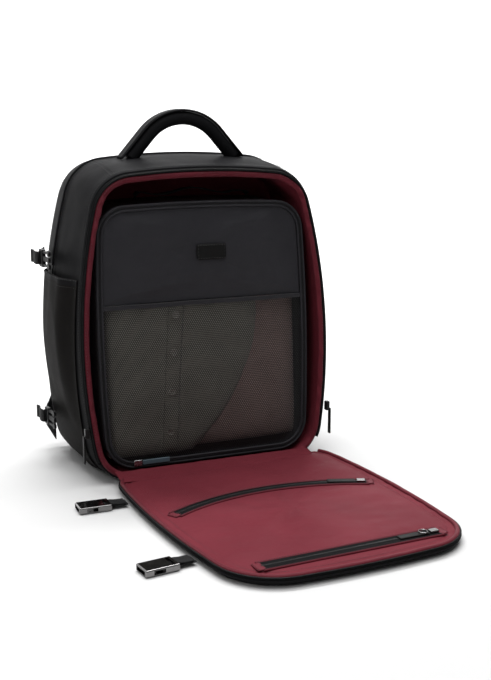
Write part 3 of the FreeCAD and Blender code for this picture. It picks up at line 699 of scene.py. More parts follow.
def shell_ring(y, inset=0.0):
    """The shell's outline at a depth; depth and inset are one number or one per loop point."""
    share = np.reshape(shell_share(y), (-1, 1))
    p = RIM_LOOP + (SEAM_LOOP - RIM_LOOP) * share - RIM_NORMALS * np.reshape(inset, (-1, 1))
    return np.stack([p[:, 0], np.broadcast_to(y, len(p)), p[:, 1]], 1)


def shell_x(y, z):
    """The +X side of the shell at a depth and height."""
    ring = shell_ring(y)
    half = ring[:int(np.argmax(ring[:, 2])) + 1]
    rising = half[half[:, 2] > 1e-6]
    return np.interp(z, rising[:, 2], rising[:, 0])


def shell_top(y, x=0.0):
    ring = shell_ring(y)
    upper = ring[ring[:, 2] > 0.3]
    order = np.argsort(upper[:, 0])
    return float(np.interp(x, upper[order, 0], upper[order, 2]))


def shell_skin(name, stations, node, seed):
    """A closed ring of padded cloth: stations are (depth array, inset, how much it may ripple)."""
    rings = []
    for y, inset, ripple in stations:
        ring = shell_ring(y, inset)
        if ripple:
            above_foot = smooth(0.004, 0.03, ring[:, 2])
            wave = 0.5 + 0.5 * rumple(ring, 0.07, seed)
            fine = 0.5 + 0.5 * rumple(ring, 0.022, seed + 1)
            ring = shell_ring(y, inset + ripple * above_foot * (0.0016 * wave + 0.0005 * fine))
        rings.append(ring)
    obj = tube(name, rings, "coated_cloth", "bag", closed=True, slot="shell_cloth", replaces=[node])
    return obj


def build_shell():
    front_y = rim_y(RIM_LOOP[:, 1])
    lip = [(front_y, WALL, 0), (front_y, 0.0030, 0), (front_y + 0.0001, 0.0012, 0),
           (front_y + 0.0007, 0.0003, 0), (front_y + 0.0020, 0.0001, 0)]
    body = []
    for t in np.linspace(0.03, 1, 30):
        y = front_y + (SEAM_Y - front_y) * t
        pinch = 0.0014 * bell(1 - t, 0.03)
        body.append((y, pinch, float(smooth(0.02, 0.2, t) * smooth(0, 0.12, 1 - t))))
    end = [(np.full(LOOP_COUNT, SEAM_Y), WALL, 0)]
    shell_skin("front_shell", lip + body + end, "front_gusset", 1)

    rear = [(np.full(LOOP_COUNT, SEAM_Y + CLEAR), WALL, 0)]
    for t in np.linspace(0, 1, 18):
        y = np.full(LOOP_COUNT, SEAM_Y + CLEAR + (BACK_SPLIT_Y - SEAM_Y - CLEAR) * t)
        pinch = 0.0014 * (bell(t, 0.05) + bell(1 - t, 0.05))
        rear.append((y, pinch, float(smooth(0, 0.2, t) * smooth(0, 0.2, 1 - t))))
    rear.append((np.full(LOOP_COUNT, BACK_SPLIT_Y), WALL, 0))
    shell_skin("rear_shell", rear, "rear_gusset", 3)

    panel_y = BACK_SPLIT_Y + CLEAR
    rings = [shell_ring(panel_y, 0.012), shell_ring(panel_y, 0.0014), shell_ring(panel_y + 0.001, 0.0002)]
    rings += [shell_ring(y) for y in (0.0870, 0.0890, 0.0910, 0.0928, 0.0936)]
    edge = rings[-1]
    centre = np.array([0.0, BACK_Y, 0.21])
    for k in np.linspace(0.98, 0.02, 22):
        ring = centre + (edge - centre) * k
        ring[:, 1] = BACK_Y + 0.0002 - 0.0006 * (0.5 + 0.5 * rumple(ring, 0.06, 5))
        rings.append(ring)
    obj = tube("back_shell", rings, "coated_cloth", "bag", slot="shell_cloth", replaces=["back_panel"])

    cord = shell_ring(SEAM_Y, -0.0004)
    upright = cord[cord[:, 2] > POCKET_TOP_Z + 0.005]
    sweep("seam_cord", upright, round_profile(0.0016, 8), "coated_cloth", "bag", up=(0, 1, 0),
          slot="shell_cloth", replaces=["seam_piping"])

    lines = [shell_ring(y, -0.0001) for y in (SEAM_Y - 0.0050, SEAM_Y + 0.0055, 0.0790)]
    lines = [ring[ring[:, 2] > POCKET_TOP_Z + 0.012] for ring in lines]
    front = shell_ring(rim_y(RIM_LOOP[:, 1]) + 0.0065, -0.0001)
    lines.append(front[front[:, 2] > 0.03])
    stitched = []
    for line in lines:
        for part in np.array_split(line, 20):
            stitched.append((part, part.mean(0) - np.array([0, part.mean(0)[1], 0.2])))
    for sign in (-1, 1):
        for x in (0.128, 0.1335):
            depth = np.linspace(-0.083, 0.018, 20)
            line = np.array([(sign * x, y, shell_top(y, x) + 0.0002) for y in depth])
            stitched.append((line, (sign * 0.2, 0, 1)))
    stitches("shell_stitching", stitched, "thread_black", "bag", slot="shell_cloth")


def rim_grid(profile, z_from=None, wobble=None):
    """Rings round the open rim: each profile point is (inset from the outline, offset along Y)."""
    points, normals = RIM.loop(0.0, 700)
    keep = np.ones(len(points), bool) if z_from is None else points[:, 1] > z_from
    points, normals = points[keep], normals[keep]
    columns = []
    for k, (inset, offset) in enumerate(profile):
        extra_inset, extra_offset = (0.0, 0.0) if wobble is None else wobble(k, points)
        p = points - normals * np.reshape(inset + extra_inset, (-1, 1))
        columns.append(np.stack([p[:, 0], rim_y(points[:, 1]) + offset + extra_offset, p[:, 1]], 1))
    return np.stack(columns, 1)


def upper_corner(points):
    """1 near the upper corners of the rim, where the facing bunches."""
    return bell(np.hypot(np.abs(points[:, 0]) - 0.168, points[:, 1] - 0.405), 0.05)


def build_rim():
    tape = [(0.0005, -0.0003), (0.0003, -0.0022), (0.0012, -0.0037), (0.0026, -0.0040), (0.0042, -0.0038),
            (0.0050, -0.0026), (0.0050, -0.0003)]
    tube("rim_band", rim_grid(tape, z_from=0.030), "zip_tape", "bag", slot="zip_tape",
         replaces=["rim_zip_tape"])
    line = rim_grid([(0.0030, -0.0040)], z_from=0.032)[:, 0]
    coil("rim_coil", line, (0, -1, 0), "zip_coil", "bag", width=0.0030, height=0.0008, pitch=0.0019,
         slot="zip_tape")

    def pucker(k, points):
        where = np.stack([points[:, 0], np.full(len(points), k * 0.0016), points[:, 1]], 1)
        strength = 1 + 1.9 * upper_corner(points)
        share = (0, 0.2, 0.5, 1, 1, 0.8, 0.4, 0)[k]
        fine = rumple(where, 0.014, 2)
        slow = rumple(where, 0.034, 4)
        return (0.0015 * share * slow * strength - 0.0004 * share,
                share * strength * (0.0022 * fine + 0.0006 * slow))

    facing = [(0.0052, -0.0004), (0.0053, -0.0028), (0.0066, -0.0040), (0.0086, -0.0044), (0.0108, -0.0038),
              (0.0128, -0.0026), (0.0134, -0.0010), (0.0114, -0.0002)]
    tube("rim_facing_cloth", rim_grid(facing, wobble=pucker), "lining_piping", "bag", closed=True,
         slot="lining", replaces=["rim_facing"])
    seam = rim_grid([(0.0072, -0.0042)])[:, 0]
    runs = [(part, (0, -1, 0)) for part in np.array_split(seam, 8)]
    stitches("rim_stitching", runs, "thread_burgundy", "bag", pitch=0.0042, length=0.0026, radius=0.0004,
             slot="lining")


LINING_INSET = 0.0090             # the lining's walls stand this far in from the rim's outline


def build_lining():
    """One bag-shaped lining: its walls, then its back, in from the rim."""
    front_y = rim_y(RIM_LOOP[:, 1]) + 0.0010
    back = SEAM_Y - 0.0056
    wall = shell_ring(RIM_Y_TOP, LINING_INSET)
    free = smooth(0.33, 0.42, RIM_LOOP[:, 1]) * 0.0045 + 0.0008
    rings = []
    for t in np.linspace(0, 1, 22):
        y = front_y + (back - front_y) * t
        wall[:, 1] = y
        fold = np.clip(rumple(wall * [1, 0.35, 1], 0.03, 6), -0.2, 1) + 0.3
        rings.append(lined(y, LINING_INSET + free * fold * smooth(0, 0.25, t)))
    edge = rings[-1]
    middle = np.array([0.0, back, 0.21])
    for k in np.linspace(0.96, 0.02, 14):
        rings.append(middle + (edge - middle) * k)
    obj = surface("lining_body", rings, "lining_cloth", "bag", wrap_cols=True, thickness=0.0008,
                  slot="lining", replaces=["main_lining"])


def lined(y, inset):
    """A ring of the straight-walled lining, which follows the rim's outline at every depth."""
    p = RIM_LOOP - RIM_NORMALS * np.reshape(inset, (-1, 1))
    return np.stack([p[:, 0], y, p[:, 1]], 1)


HINGE_CLOTH_WIDTH = 0.300


def build_hinge():
    """The strip of cloth that joins the bag's foot to the front panel and rolls over the hinge line."""
    count, half = 60, HINGE_CLOTH_WIDTH / 2
    rows = []
    for x in np.linspace(-half, half, 130):
        end = smooth(half, half - 0.030, abs(x))
        floor_z = float(np.interp(abs(x), [0.127, half], [0.0125, 0.0165]))
        arch = [(-0.1120, floor_z - 0.0012), (-0.1165, floor_z + 0.0012), (-0.1200, floor_z + 0.0028),
                (-0.1235, 0.0172 + 0.0010 * end), (-0.1290, 0.0168), (-0.1370, 0.0160), (-0.1450, 0.0150),
                (-0.1530, 0.0143), (-0.1580, 0.0141)]
        arch = resample(np.array(arch), count)
        at = np.stack([np.full(count, x), arch[:, 0], arch[:, 1]], 1)
        s = np.linspace(0, 1, count)
        gather = rumple(at, 0.012, 8) * (0.5 + 1.1 * float(bell(abs(x) - 0.140, 0.03)))
        at[:, 2] += 0.0011 * gather * smooth(0, 0.15, s) * smooth(1, 0.7, s)
        rows.append(at)
    obj = surface("hinge_cloth", rows, "lining_cloth", None, thickness=0.0007, slot="lining",
                  replaces=["hinge_roll"])
    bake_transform(obj)


# ---- top handle -----------------------------------------------------------------------------
HANDLE_TOP_Z = 0.519
HANDLE_Y = -0.006
GRIP_RADIUS = 0.010
HANDLE_SLOPE = math.radians(49.0)
HANDLE_BEND = 0.068
HANDLE_FOOT_X = 0.078
BAND_THICKNESS = 0.003


def handle_path(offset, z_end, y):
    """The handle's run from foot to foot, offset from the middle of its grip."""
    radius = HANDLE_BEND + offset
    centre_z = HANDLE_TOP_Z - BAND_THICKNESS - CLEAR - GRIP_RADIUS - HANDLE_BEND
    turn = np.linspace(HANDLE_SLOPE, 0, 20)
    knee = np.stack([radius * np.sin(turn), centre_z + radius * np.cos(turn)], 1)
    drop = knee[0, 1] - z_end
    half = np.concatenate([[[knee[0, 0] + drop / math.tan(HANDLE_SLOPE), z_end]], knee])
    line = np.concatenate([half, (half * [-1, 1])[-2::-1]])
    return resample(np.stack([line[:, 0], np.full(len(line), y), line[:, 1]], 1), 80)


def build_handle():
    foot = shell_top(HANDLE_Y, HANDLE_FOOT_X) - 0.002
    path = handle_path(0.0, foot, HANDLE_Y)
    ends = np.linspace(0, 1, len(path))
    near_end = np.minimum(ends, 1 - ends)
    swell = 0.985 + 0.012 * rumple(path, 0.02, 9)
    flat = 0.98 + 0.04 * smooth(0.14, 0.0, near_end)
    grip = sweep("handle_roll", path, round_profile(GRIP_RADIUS, 22), "coated_cloth", "bag",
                 scale=np.stack([swell, flat * swell], 1), slot="shell_cloth", replaces=["handle_grip"])

    band_path = handle_path(GRIP_RADIUS + 0.0016, foot + 0.001, -0.001)
    band = sweep("handle_band_cloth", band_path, strap_profile(0.024, BAND_THICKNESS * 0.86),
                 "coated_cloth", "bag", slot="shell_cloth", replaces=["handle_band"])
    for y, name in ((-0.0135, "front"), (0.0115, "rear")):
        edge = handle_path(GRIP_RADIUS + 0.0010, foot + 0.001, y)
        sweep("handle_piping_" + name, edge, round_profile(0.0012, 8), "coated_cloth", "bag",
              slot="shell_cloth")
    rows = []
    for y in (-0.0100, 0.0080):
        line = handle_path(GRIP_RADIUS + 0.0030, foot + 0.004, y)
        rows += [(part, part.mean(0) - np.array([0, y, 0.44])) for part in np.array_split(line, 6)]
    turn = math.radians(62)
    seam = handle_path(0.0, foot + 0.003, HANDLE_Y)[4:-4]
    _, side, normal = frames_along(seam, False, (0, 0, 1))
    inner = seam + (side * math.cos(turn) - normal * math.sin(turn)) * (GRIP_RADIUS - 0.0001)
    rows += [(part, (0, -1, -0.5)) for part in np.array_split(inner, 4)]
    stitches("handle_stitching", rows, "thread_black", "bag", slot="shell_cloth")


# ---- side pockets ---------------------------------------------------------------------------
def arc3(points, count):
    """Evenly spaced points on the circle through three 2D points."""
    (ax, ay), (bx, by), (cx, cy) = points
    d = 2 * (ax * (by - cy) + bx * (cy - ay) + cx * (ay - by))
    sa, sb, sc = ax * ax + ay * ay, bx * bx + by * by, cx * cx + cy * cy
    centre = np.array([(sa * (by - cy) + sb * (cy - ay) + sc * (ay - by)) / d,
                       (sa * (cx - bx) + sb * (ax - cx) + sc * (bx - ax)) / d])
    angles = np.unwrap([math.atan2(y - centre[1], x - centre[0]) for x, y in points])
    a = np.linspace(angles[0], angles[2], count)
    radius = math.hypot(ax - centre[0], ay - centre[1])
    return centre + radius * np.stack([np.cos(a), np.sin(a)], 1)


POCKET_EARLY = 0.014              # the cloth fades into the shell this far ahead of the modelled pocket
POCKET_BULGE = ((0.1660, 0.008), (0.2032, 0.130), (0.2052, POCKET_TOP_Z))      # its outer line (x, z)


def build_pockets():
    bulge = arc3(POCKET_BULGE, 44)
    u = np.sin(np.linspace(-math.pi / 2, math.pi / 2, 46))
    front_y = POCKET_FRONT_Y - POCKET_EARLY
    depth = (front_y + POCKET_BACK_Y) / 2 + u * (POCKET_BACK_Y - front_y) / 2
    fullness = (1 - np.abs(u) ** 4.5) ** 0.55 * smooth(-1.0, -0.35, u)
    inside = np.array([[shell_x(y, z) + 0.0012 for y in depth] for z in bulge[:, 1]])
    outer = inside + (bulge[:, :1] - inside - 0.0006) * fullness[None]
    outer = np.maximum(outer, inside)
    grid = np.stack([outer, np.tile(depth, (len(bulge), 1)), np.tile(bulge[:, 1:], (1, len(u)))], -1)
    slack = np.clip(rumple(grid * [1, 1, 0.4], 0.030, 11), -0.3, 1) * smooth(0.05, 0.2, grid[..., 2])
    grid[..., 0] -= (0.0018 * slack + 0.0010) * fullness[None]
    grid[..., 0] = np.maximum(grid[..., 0], inside)
    hem_line = grid[-1].copy()
    for name, sign in SIDES:
        mirror = [sign, 1, 1]
        pocket = surface("pocket_" + name, grid * mirror, "coated_cloth_warm", "bag", thickness=0.0010,
                         slot="shell_cloth", replaces=["side_pocket_" + name])
        hem = hem_line[2:-2] * mirror - np.array([sign * 0.0002, 0, 0.0065])
        sweep("pocket_hem_" + name, hem, strap_profile(0.0125, 0.0024)[:, ::-1], "coated_cloth", "bag",
              slot="shell_cloth")
        rows = []
        for drop in (0.0015, 0.0118):
            line = hem_line[3:-3] * mirror + np.array([sign * 0.0011, 0, -drop])
            for part in np.array_split(line, 6):
                rows.append((part, (sign, 0, 0)))
        stitches("pocket_stitching_" + name, rows, "thread_black", "bag", slot="shell_cloth")


# ---- straps and buckles on the bag's sides --------------------------------------------------
def build_side_straps():
    root_x, root_y, reach = 0.1948, 0.066, 0.054
    swing = math.radians(17.0)
    lean = math.radians(5.0)
    for level, height in (("upper", STRAP_HIGH_Z), ("lower", STRAP_LOW_Z - 0.020)):
        out = np.array([math.sin(swing), -math.cos(swing)])
        tip = np.array([root_x, root_y]) + out * reach
        buckle_root = tip + np.array([0.002, 0.009])
        buckle_dir = np.array([-math.sin(lean), -math.cos(lean)])
        bar = buckle_root + buckle_dir * 0.006
        for name, sign in SIDES:
            body = "side_strap_%s_%s" % (level, name)
            line = np.array([(root_x - 0.0008, root_y + 0.001), (root_x + 0.0080, root_y - 0.020),
                             (root_x + 0.0142, root_y - 0.042), bar + [0.0012, 0.001]])
            path = curve_through([(sign * x, y, height) for x, y in line], 40)
            sweep("side_web_%s_%s" % (level, name), path, strap_profile()[:, ::-1], "webbing_cloth", body,
                  slot="webbing", replaces=["side_webbing_%s_%s" % (level, name)])
            tail = bar + np.array([(0.0028, 0.000), (0.0052, 0.006), (0.0050, 0.016), (0.0030, 0.026),
                                   (0.0052, 0.0335)])
            path = curve_through([(sign * x, y, height) for x, y in tail], 40)
            sweep("side_tail_%s_%s" % (level, name), path, strap_profile(0.0192)[:, ::-1], "webbing_cloth",
                  body, slot="webbing")


# ---- back: pads, shoulder straps and their webbing ------------------------------------------
def pad_height(u, v):
    """Crowned pad: 0 at its border, 1 inside, dipped along its channels."""
    edge = np.clip((1 - np.abs(u) ** 7) * (1 - np.abs(v) ** 9), 0, 1) ** 0.5
    for at in PAD_CHANNELS:
        edge = edge * (1 - 0.75 * bell(v - at, 0.028))
    return edge


PAD_X, PAD_Z = 0.073, 0.2325      # middle of the right-hand back pad
PAD_HALF_WIDTH = 0.0588
PAD_HALF_HEIGHT = 0.162
PAD_CHANNELS = (-0.6, -0.2, 0.2, 0.6)


def build_back_pads():
    u = np.sin(np.linspace(-math.pi / 2, math.pi / 2, 40))[None]
    v = np.concatenate([[-1, -0.995, -0.985], np.linspace(-0.97, 0.97, 120), [0.985, 0.995, 1]])[:, None]
    x = (PAD_X + u * PAD_HALF_WIDTH) * np.ones_like(v)
    z = PAD_Z + v * PAD_HALF_HEIGHT * np.ones_like(u)
    lift = pad_height(u, v)
    y = 0.0946 + 0.0090 * lift
    grid = np.stack([x, y, z], -1)
    grid[..., 1] -= 0.0006 * (0.5 + 0.5 * rumple(grid, 0.03, 12)) * lift
    under = np.stack([x, np.full_like(x, 0.0943), z], -1)
    for name, sign in SIDES:
        pad = slab("back_pad_" + name, grid * [sign, 1, 1], under * [sign, 1, 1], "spacer_mesh", "bag",
                   slot="air_mesh", replaces=["back_pads"] if name == "left" else ())
    rows = []
    for sign in (-1, 1):
        for channel in PAD_CHANNELS:
            height = PAD_Z + channel * PAD_HALF_HEIGHT
            ends = [(sign * (PAD_X + reach), 0.0972, height) for reach in (-0.050, 0.050)]
            rows.append((np.array(ends), (0, 1, 0)))
    stitches("back_pad_stitching", rows, "thread_black", "bag", slot="air_mesh")


def build_shoulder_straps():
    count = 90
    inner = arc3(((0.026, 0.418), (0.047, 0.270), (0.112, 0.132)), count)
    outer = arc3(((0.088, 0.418), (0.108, 0.280), (0.162, 0.146)), count)
    side = arc3(((0.097, 0.425), (0.128, 0.285), (0.108, 0.125)), 200)
    order = np.argsort(side[:, 1])
    turn = np.arange(28) * 2 * math.pi / 28
    across = np.sign(np.cos(turn)) * np.abs(np.cos(turn)) ** 0.55
    through = np.sign(np.sin(turn)) * np.abs(np.sin(turn)) ** 0.75
    rings, spine = [], []
    for a, b in zip(inner, outer):
        middle = (a + b) / 2
        p = middle[None] + (b - a)[None] / 2 * (across[:, None] * 0.985)
        y = np.interp(p[:, 1], side[order, 1], side[order, 0]) + 0.0065
        crown = 1 - 0.12 * np.abs(across) ** 3
        rings.append(np.stack([p[:, 0], y + through * 0.0060 * crown, p[:, 1]], 1))
        spine_y = float(np.interp(middle[1], side[order, 1], side[order, 0])) + 0.0132
        spine.append((middle[0], spine_y, middle[1]))
    rings = np.array(rings)
    spine = np.array(spine)
    rings = rings[rings[:, :, 2].max(1) < 0.4175]
    anchors_replaced = {"left": ["strap_anchors"], "right": []}
    for name, sign in SIDES:
        mirror = [sign, 1, 1]
        strap = tube("strap_pad_" + name, rings * mirror, "spacer_mesh", "bag", slot="air_mesh",
                     replaces=["shoulder_strap_" + name])
        for edge, column in (("inner", 14), ("outer", 0)):
            sweep("strap_binding_%s_%s" % (edge, name), rings[:, column] * mirror, round_profile(0.0021, 8),
                  "coated_cloth", "bag", up=(0, 1, 0), slot="shell_cloth")
        sweep("strap_runner_" + name, (spine * mirror)[4:], strap_profile(0.022, 0.0014), "webbing_cloth",
              "bag", up=(0, 1, 0), slot="webbing")
        rows = []
        for shift in (-0.0085, 0.0085):
            line = (spine * mirror)[6:-2] + np.array([shift, 0.0009, 0])
            rows += [(part, (0, 1, 0)) for part in np.array_split(line, 4)]
        stitches("strap_stitching_" + name, rows, "thread_black", "bag", slot="webbing")
        x = np.linspace(0.0305, 0.0835, 24)
        z = np.linspace(0.3965, 0.4205, 12)
        xx, zz = np.meshgrid(x, z)
        rim = np.minimum.reduce([xx - x[0], x[-1] - xx, zz - z[0], z[-1] - zz])
        top = np.stack([xx, 0.0946 + 0.0020 * smooth(-0.0005, 0.002, rim), zz], -1)
        under = np.stack([xx, np.full_like(xx, 0.0944), zz], -1)
        slab("strap_anchor_" + name, top * mirror, under * mirror, "coated_cloth", "bag", slot="shell_cloth",
             replaces=anchors_replaced[name])


def ribbon_between(name, start, end, sag, **more):
    """Flat webbing between two points, its face turned towards +Y as far as its run allows."""
    start, end, sag = (np.asarray(p, float) for p in (start, end, sag))
    path = curve_through([start, (start + end) / 2 + sag, end], 40)
    sweep(name, path, strap_profile(), "webbing_cloth", "bag", up=(0, 1, 0), slot="webbing", **more)


def build_back_webbing():
    replaced = {"left": (["strap_webbings"], ["strap_wings"]), "right": ([], [])}
    for name, sign in SIDES:
        webs, wings = replaced[name]
        ribbon_between("adjuster_web_" + name, (sign * 0.1555, 0.1140, 0.1035),
                       (sign * 0.1885, 0.1025, 0.0425), (sign * 0.001, 0.0015, 0), replaces=webs)
        ribbon_between("adjuster_tail_" + name, (sign * 0.1480, 0.1190, 0.1130),
                       (sign * 0.1640, 0.1215, 0.0480), (-sign * 0.002, 0.0035, 0))
        y = np.linspace(BACK_Y - 0.026, BACK_Y + 0.002, 16)
        share = (y - y[0]) / (y[-1] - y[0])
        low, high = 0.018 + 0.016 * share, 0.062 - 0.018 * share
        v = np.linspace(0, 1, 14)[:, None]
        z = low + (high - low) * v
        yy = y * np.ones_like(z)
        turn = math.radians(-14.0)
        base = np.stack([-(yy - BACK_Y) * math.sin(turn), BACK_Y + (yy - BACK_Y) * math.cos(turn), z], -1)
        base[..., 0] += 0.1915
        rim = np.minimum(np.minimum(v, 1 - v) * 0.03, 0.004) + 0 * z
        lift = 0.0008 + 0.0008 * smooth(0, 0.004, rim)
        top, under = base.copy(), base.copy()
        top[..., 0] += lift
        under[..., 0] -= 0.0004
        slab("strap_wing_" + name, top * [sign, 1, 1], under * [sign, 1, 1], "coated_cloth", "bag",
             slot="shell_cloth", replaces=wings)


# ---- front panel (flap), laid open ----------------------------------------------------------
NOTCH_INNER_X = 0.106             # hollows under the panel hold its right-hand straps
NOTCH_HALF = 0.024
NOTCH_ROOF_Z = 0.0093
CURVED_ZIP_MID_Y = -0.261
CURVED_ZIP_END_Y = -0.298
CURVED_ZIP_HALF = 0.144
STRAIGHT_ZIP_Y = -0.493
STRAIGHT_ZIP_HALF = 0.122
ZIP_Z = 0.0138                    # foot of the pocket zips' tapes
ZIP_RISE = CURVED_ZIP_MID_Y - CURVED_ZIP_END_Y
CURVED_ZIP_RADIUS = (CURVED_ZIP_HALF ** 2 + ZIP_RISE ** 2) / (2 * ZIP_RISE)
CURVED_ZIP_CENTRE_Y = CURVED_ZIP_MID_Y - CURVED_ZIP_RADIUS


def laid(loop, z):
    """A loop drawn on the closed panel (x, height), laid open at a height above the floor."""
    y = HINGE_Y - (loop[:, 1] - HINGE_Z)
    return np.stack([loop[:, 0], y, np.broadcast_to(z, len(loop))], 1)


def curved_zip_gap(points):
    """Distance from the curved zip's centre line, outwards from its centre."""
    return np.hypot(points[:, 0], points[:, 1] - CURVED_ZIP_CENTRE_Y) - CURVED_ZIP_RADIUS


def lining_height(points, edge):
    """Height of the front panel's lining: pillowed between its edge and the two pocket zips."""
    gap = curved_zip_gap(points)
    within = smooth(0.175, 0.135, np.abs(points[:, 0]))
    near_curved = 1 - bell(gap, 0.026) * within
    beside = smooth(0.155, 0.118, np.abs(points[:, 0]))
    near_straight = 1 - bell(points[:, 1] - STRAIGHT_ZIP_Y, 0.024) * beside
    pillow = smooth(0.0, 0.050, edge) * near_curved * near_straight
    folds = rumple(points * [1, 1, 0], 0.085, 14) + 0.5 * rumple(points * [1, 1.7, 0], 0.033, 15)
    creases = 0.0007 * rumple(points * [1, 1, 0], 0.013, 17) * bell(edge, 0.022)
    seams = 0.0012 * bell(edge, 0.005) + 0.0019 * bell(edge - 0.0105, 0.0028)
    return 0.0128 + pillow * (0.0038 + 0.0028 * folds) + creases - seams


def open_part(loop, low):
    """The panel's outline without its near edge, in order from one end to the other."""
    kept = loop[loop[:, 1] > low + 0.0035]
    start = int(np.argmax(np.linalg.norm(np.diff(kept, axis=0, append=kept[:1]), axis=1))) + 1
    return np.roll(kept, -start, 0)


def build_flap():
    low = HINGE_Z + 0.010
    loop = FLAP.clipped(0.0, low=low, count=520)
    shrink = np.concatenate([np.linspace(0.97, 0.1, 22), [0.02]])
    under = disc_rings(loop, (0.0004, 0.0014, 0.0042, 0.0085, 0.014), shrink)
    under_z = (0.00765, 0.00605, 0.00365, 0.00145, 0.00005)
    rings = [laid(ring, under_z[min(k, 4)]) for k, ring in reversed(list(enumerate(under)))]
    over_z = (0.0088, 0.0095, 0.0096, 0.0096)
    for k, ring in enumerate(disc_rings(loop, (0.0, 0.0006, 0.0022, 0.006), shrink)):
        rings.append(laid(ring, over_z[min(k, 3)]))
    outer = tube("flap_outer", rings, "coated_cloth", "flap", slot="shell_cloth", replaces=["flap_panel"])
    for height in (STRAP_LOW_Z, STRAP_HIGH_Z):
        cut_notch(outer, HINGE_Y - (height - HINGE_Z))

    inner = FLAP.clipped(0.0060, low=low + 0.0004, count=520)
    rings = [laid(ring, 0.0099) for ring in reversed(disc_rings(inner, (0.0, 0.01), shrink[::3]))]
    rings.append(laid(inner, 0.0112))
    for ring in disc_rings(inner, (0.0008, 0.002, 0.004, 0.0065, 0.0095, 0.0135, 0.018),
                           np.linspace(0.985, 0.015, 46)):
        at = laid(ring, 0.0)
        edge = np.linalg.norm(ring - inner, axis=1)
        at[:, 2] = lining_height(at, edge)
        rings.append(at)
    lining = tube("flap_lining_cloth", rings, "lining_cloth", "flap", slot="lining", replaces=["flap_lining"])

    open_edge = open_part(FLAP.clipped(0.0014, low=low + 0.001, count=700), low)
    band = [(-0.0011, -0.0014), (0.0020, -0.0014), (0.0022, 0.0008), (0.0008, 0.0013), (-0.0009, 0.0010)]
    sweep("flap_zip_band", laid(open_edge, 0.0112), band, "zip_tape", "flap", slot="zip_tape",
          replaces=["flap_binding"])
    coil("flap_zip_coil", laid(open_edge, 0.0124), (0, 0, 1), "zip_coil", "flap", width=0.0026, height=0.0007,
         pitch=0.0019, slot="zip_tape")
    cord = laid(open_part(FLAP.clipped(0.0052, low=low + 0.001, count=700), low), 0.0124)
    cord[:, 2] += 0.0004 * rumple(cord, 0.02, 16)
    sweep("flap_piping", cord, round_profile(0.0031, 12), "lining_piping", "flap", slot="lining")
    seam = open_part(FLAP.clipped(0.0186, low=low + 0.001, count=700), low)
    at = laid(seam, 0.0)
    at[:, 2] = lining_height(at, np.full(len(at), 0.0126)) + 0.0003
    runs = [(part, (0, 0, 1)) for part in np.array_split(at, 10)]
    stitches("flap_stitching", runs, "thread_burgundy", "flap", slot="lining")


def cut_notch(panel, y):
    """The hollow that a tucked strap lies in; a black skin stays between it and the lining."""
    low = Vector((NOTCH_INNER_X, y - NOTCH_HALF, -0.001))
    high = Vector((0.200, y + NOTCH_HALF, NOTCH_ROOF_Z))
    bm = bmesh.new()
    block = bmesh.ops.create_cube(bm, size=1.0)["verts"]
    bmesh.ops.scale(bm, vec=high - low, verts=block)
    bmesh.ops.bevel(bm, geom=bm.edges[:], offset=0.0004, segments=1, profile=0.5, affect="EDGES")
    bmesh.ops.translate(bm, vec=(low + high) / 2, verts=bm.verts[:])
    mesh = bpy.data.meshes.new("notch_cutter")
    bm.to_mesh(mesh)
    bm.free()
    mesh.transform(Matrix.Translation(SWAY_PIVOT) @ Matrix.Rotation(FLAP_SWAY, 4, "Z")
                   @ Matrix.Translation(-SWAY_PIVOT))
    cutter = bpy.data.objects.new("notch_cutter", mesh)
    bpy.context.scene.collection.objects.link(cutter)
    cut = panel.modifiers.new("notch", "BOOLEAN")
    cut.operation = "DIFFERENCE"
    cut.solver = "EXACT"
    cut.object = cutter
    apply_modifiers(panel)
    bpy.data.objects.remove(cutter)


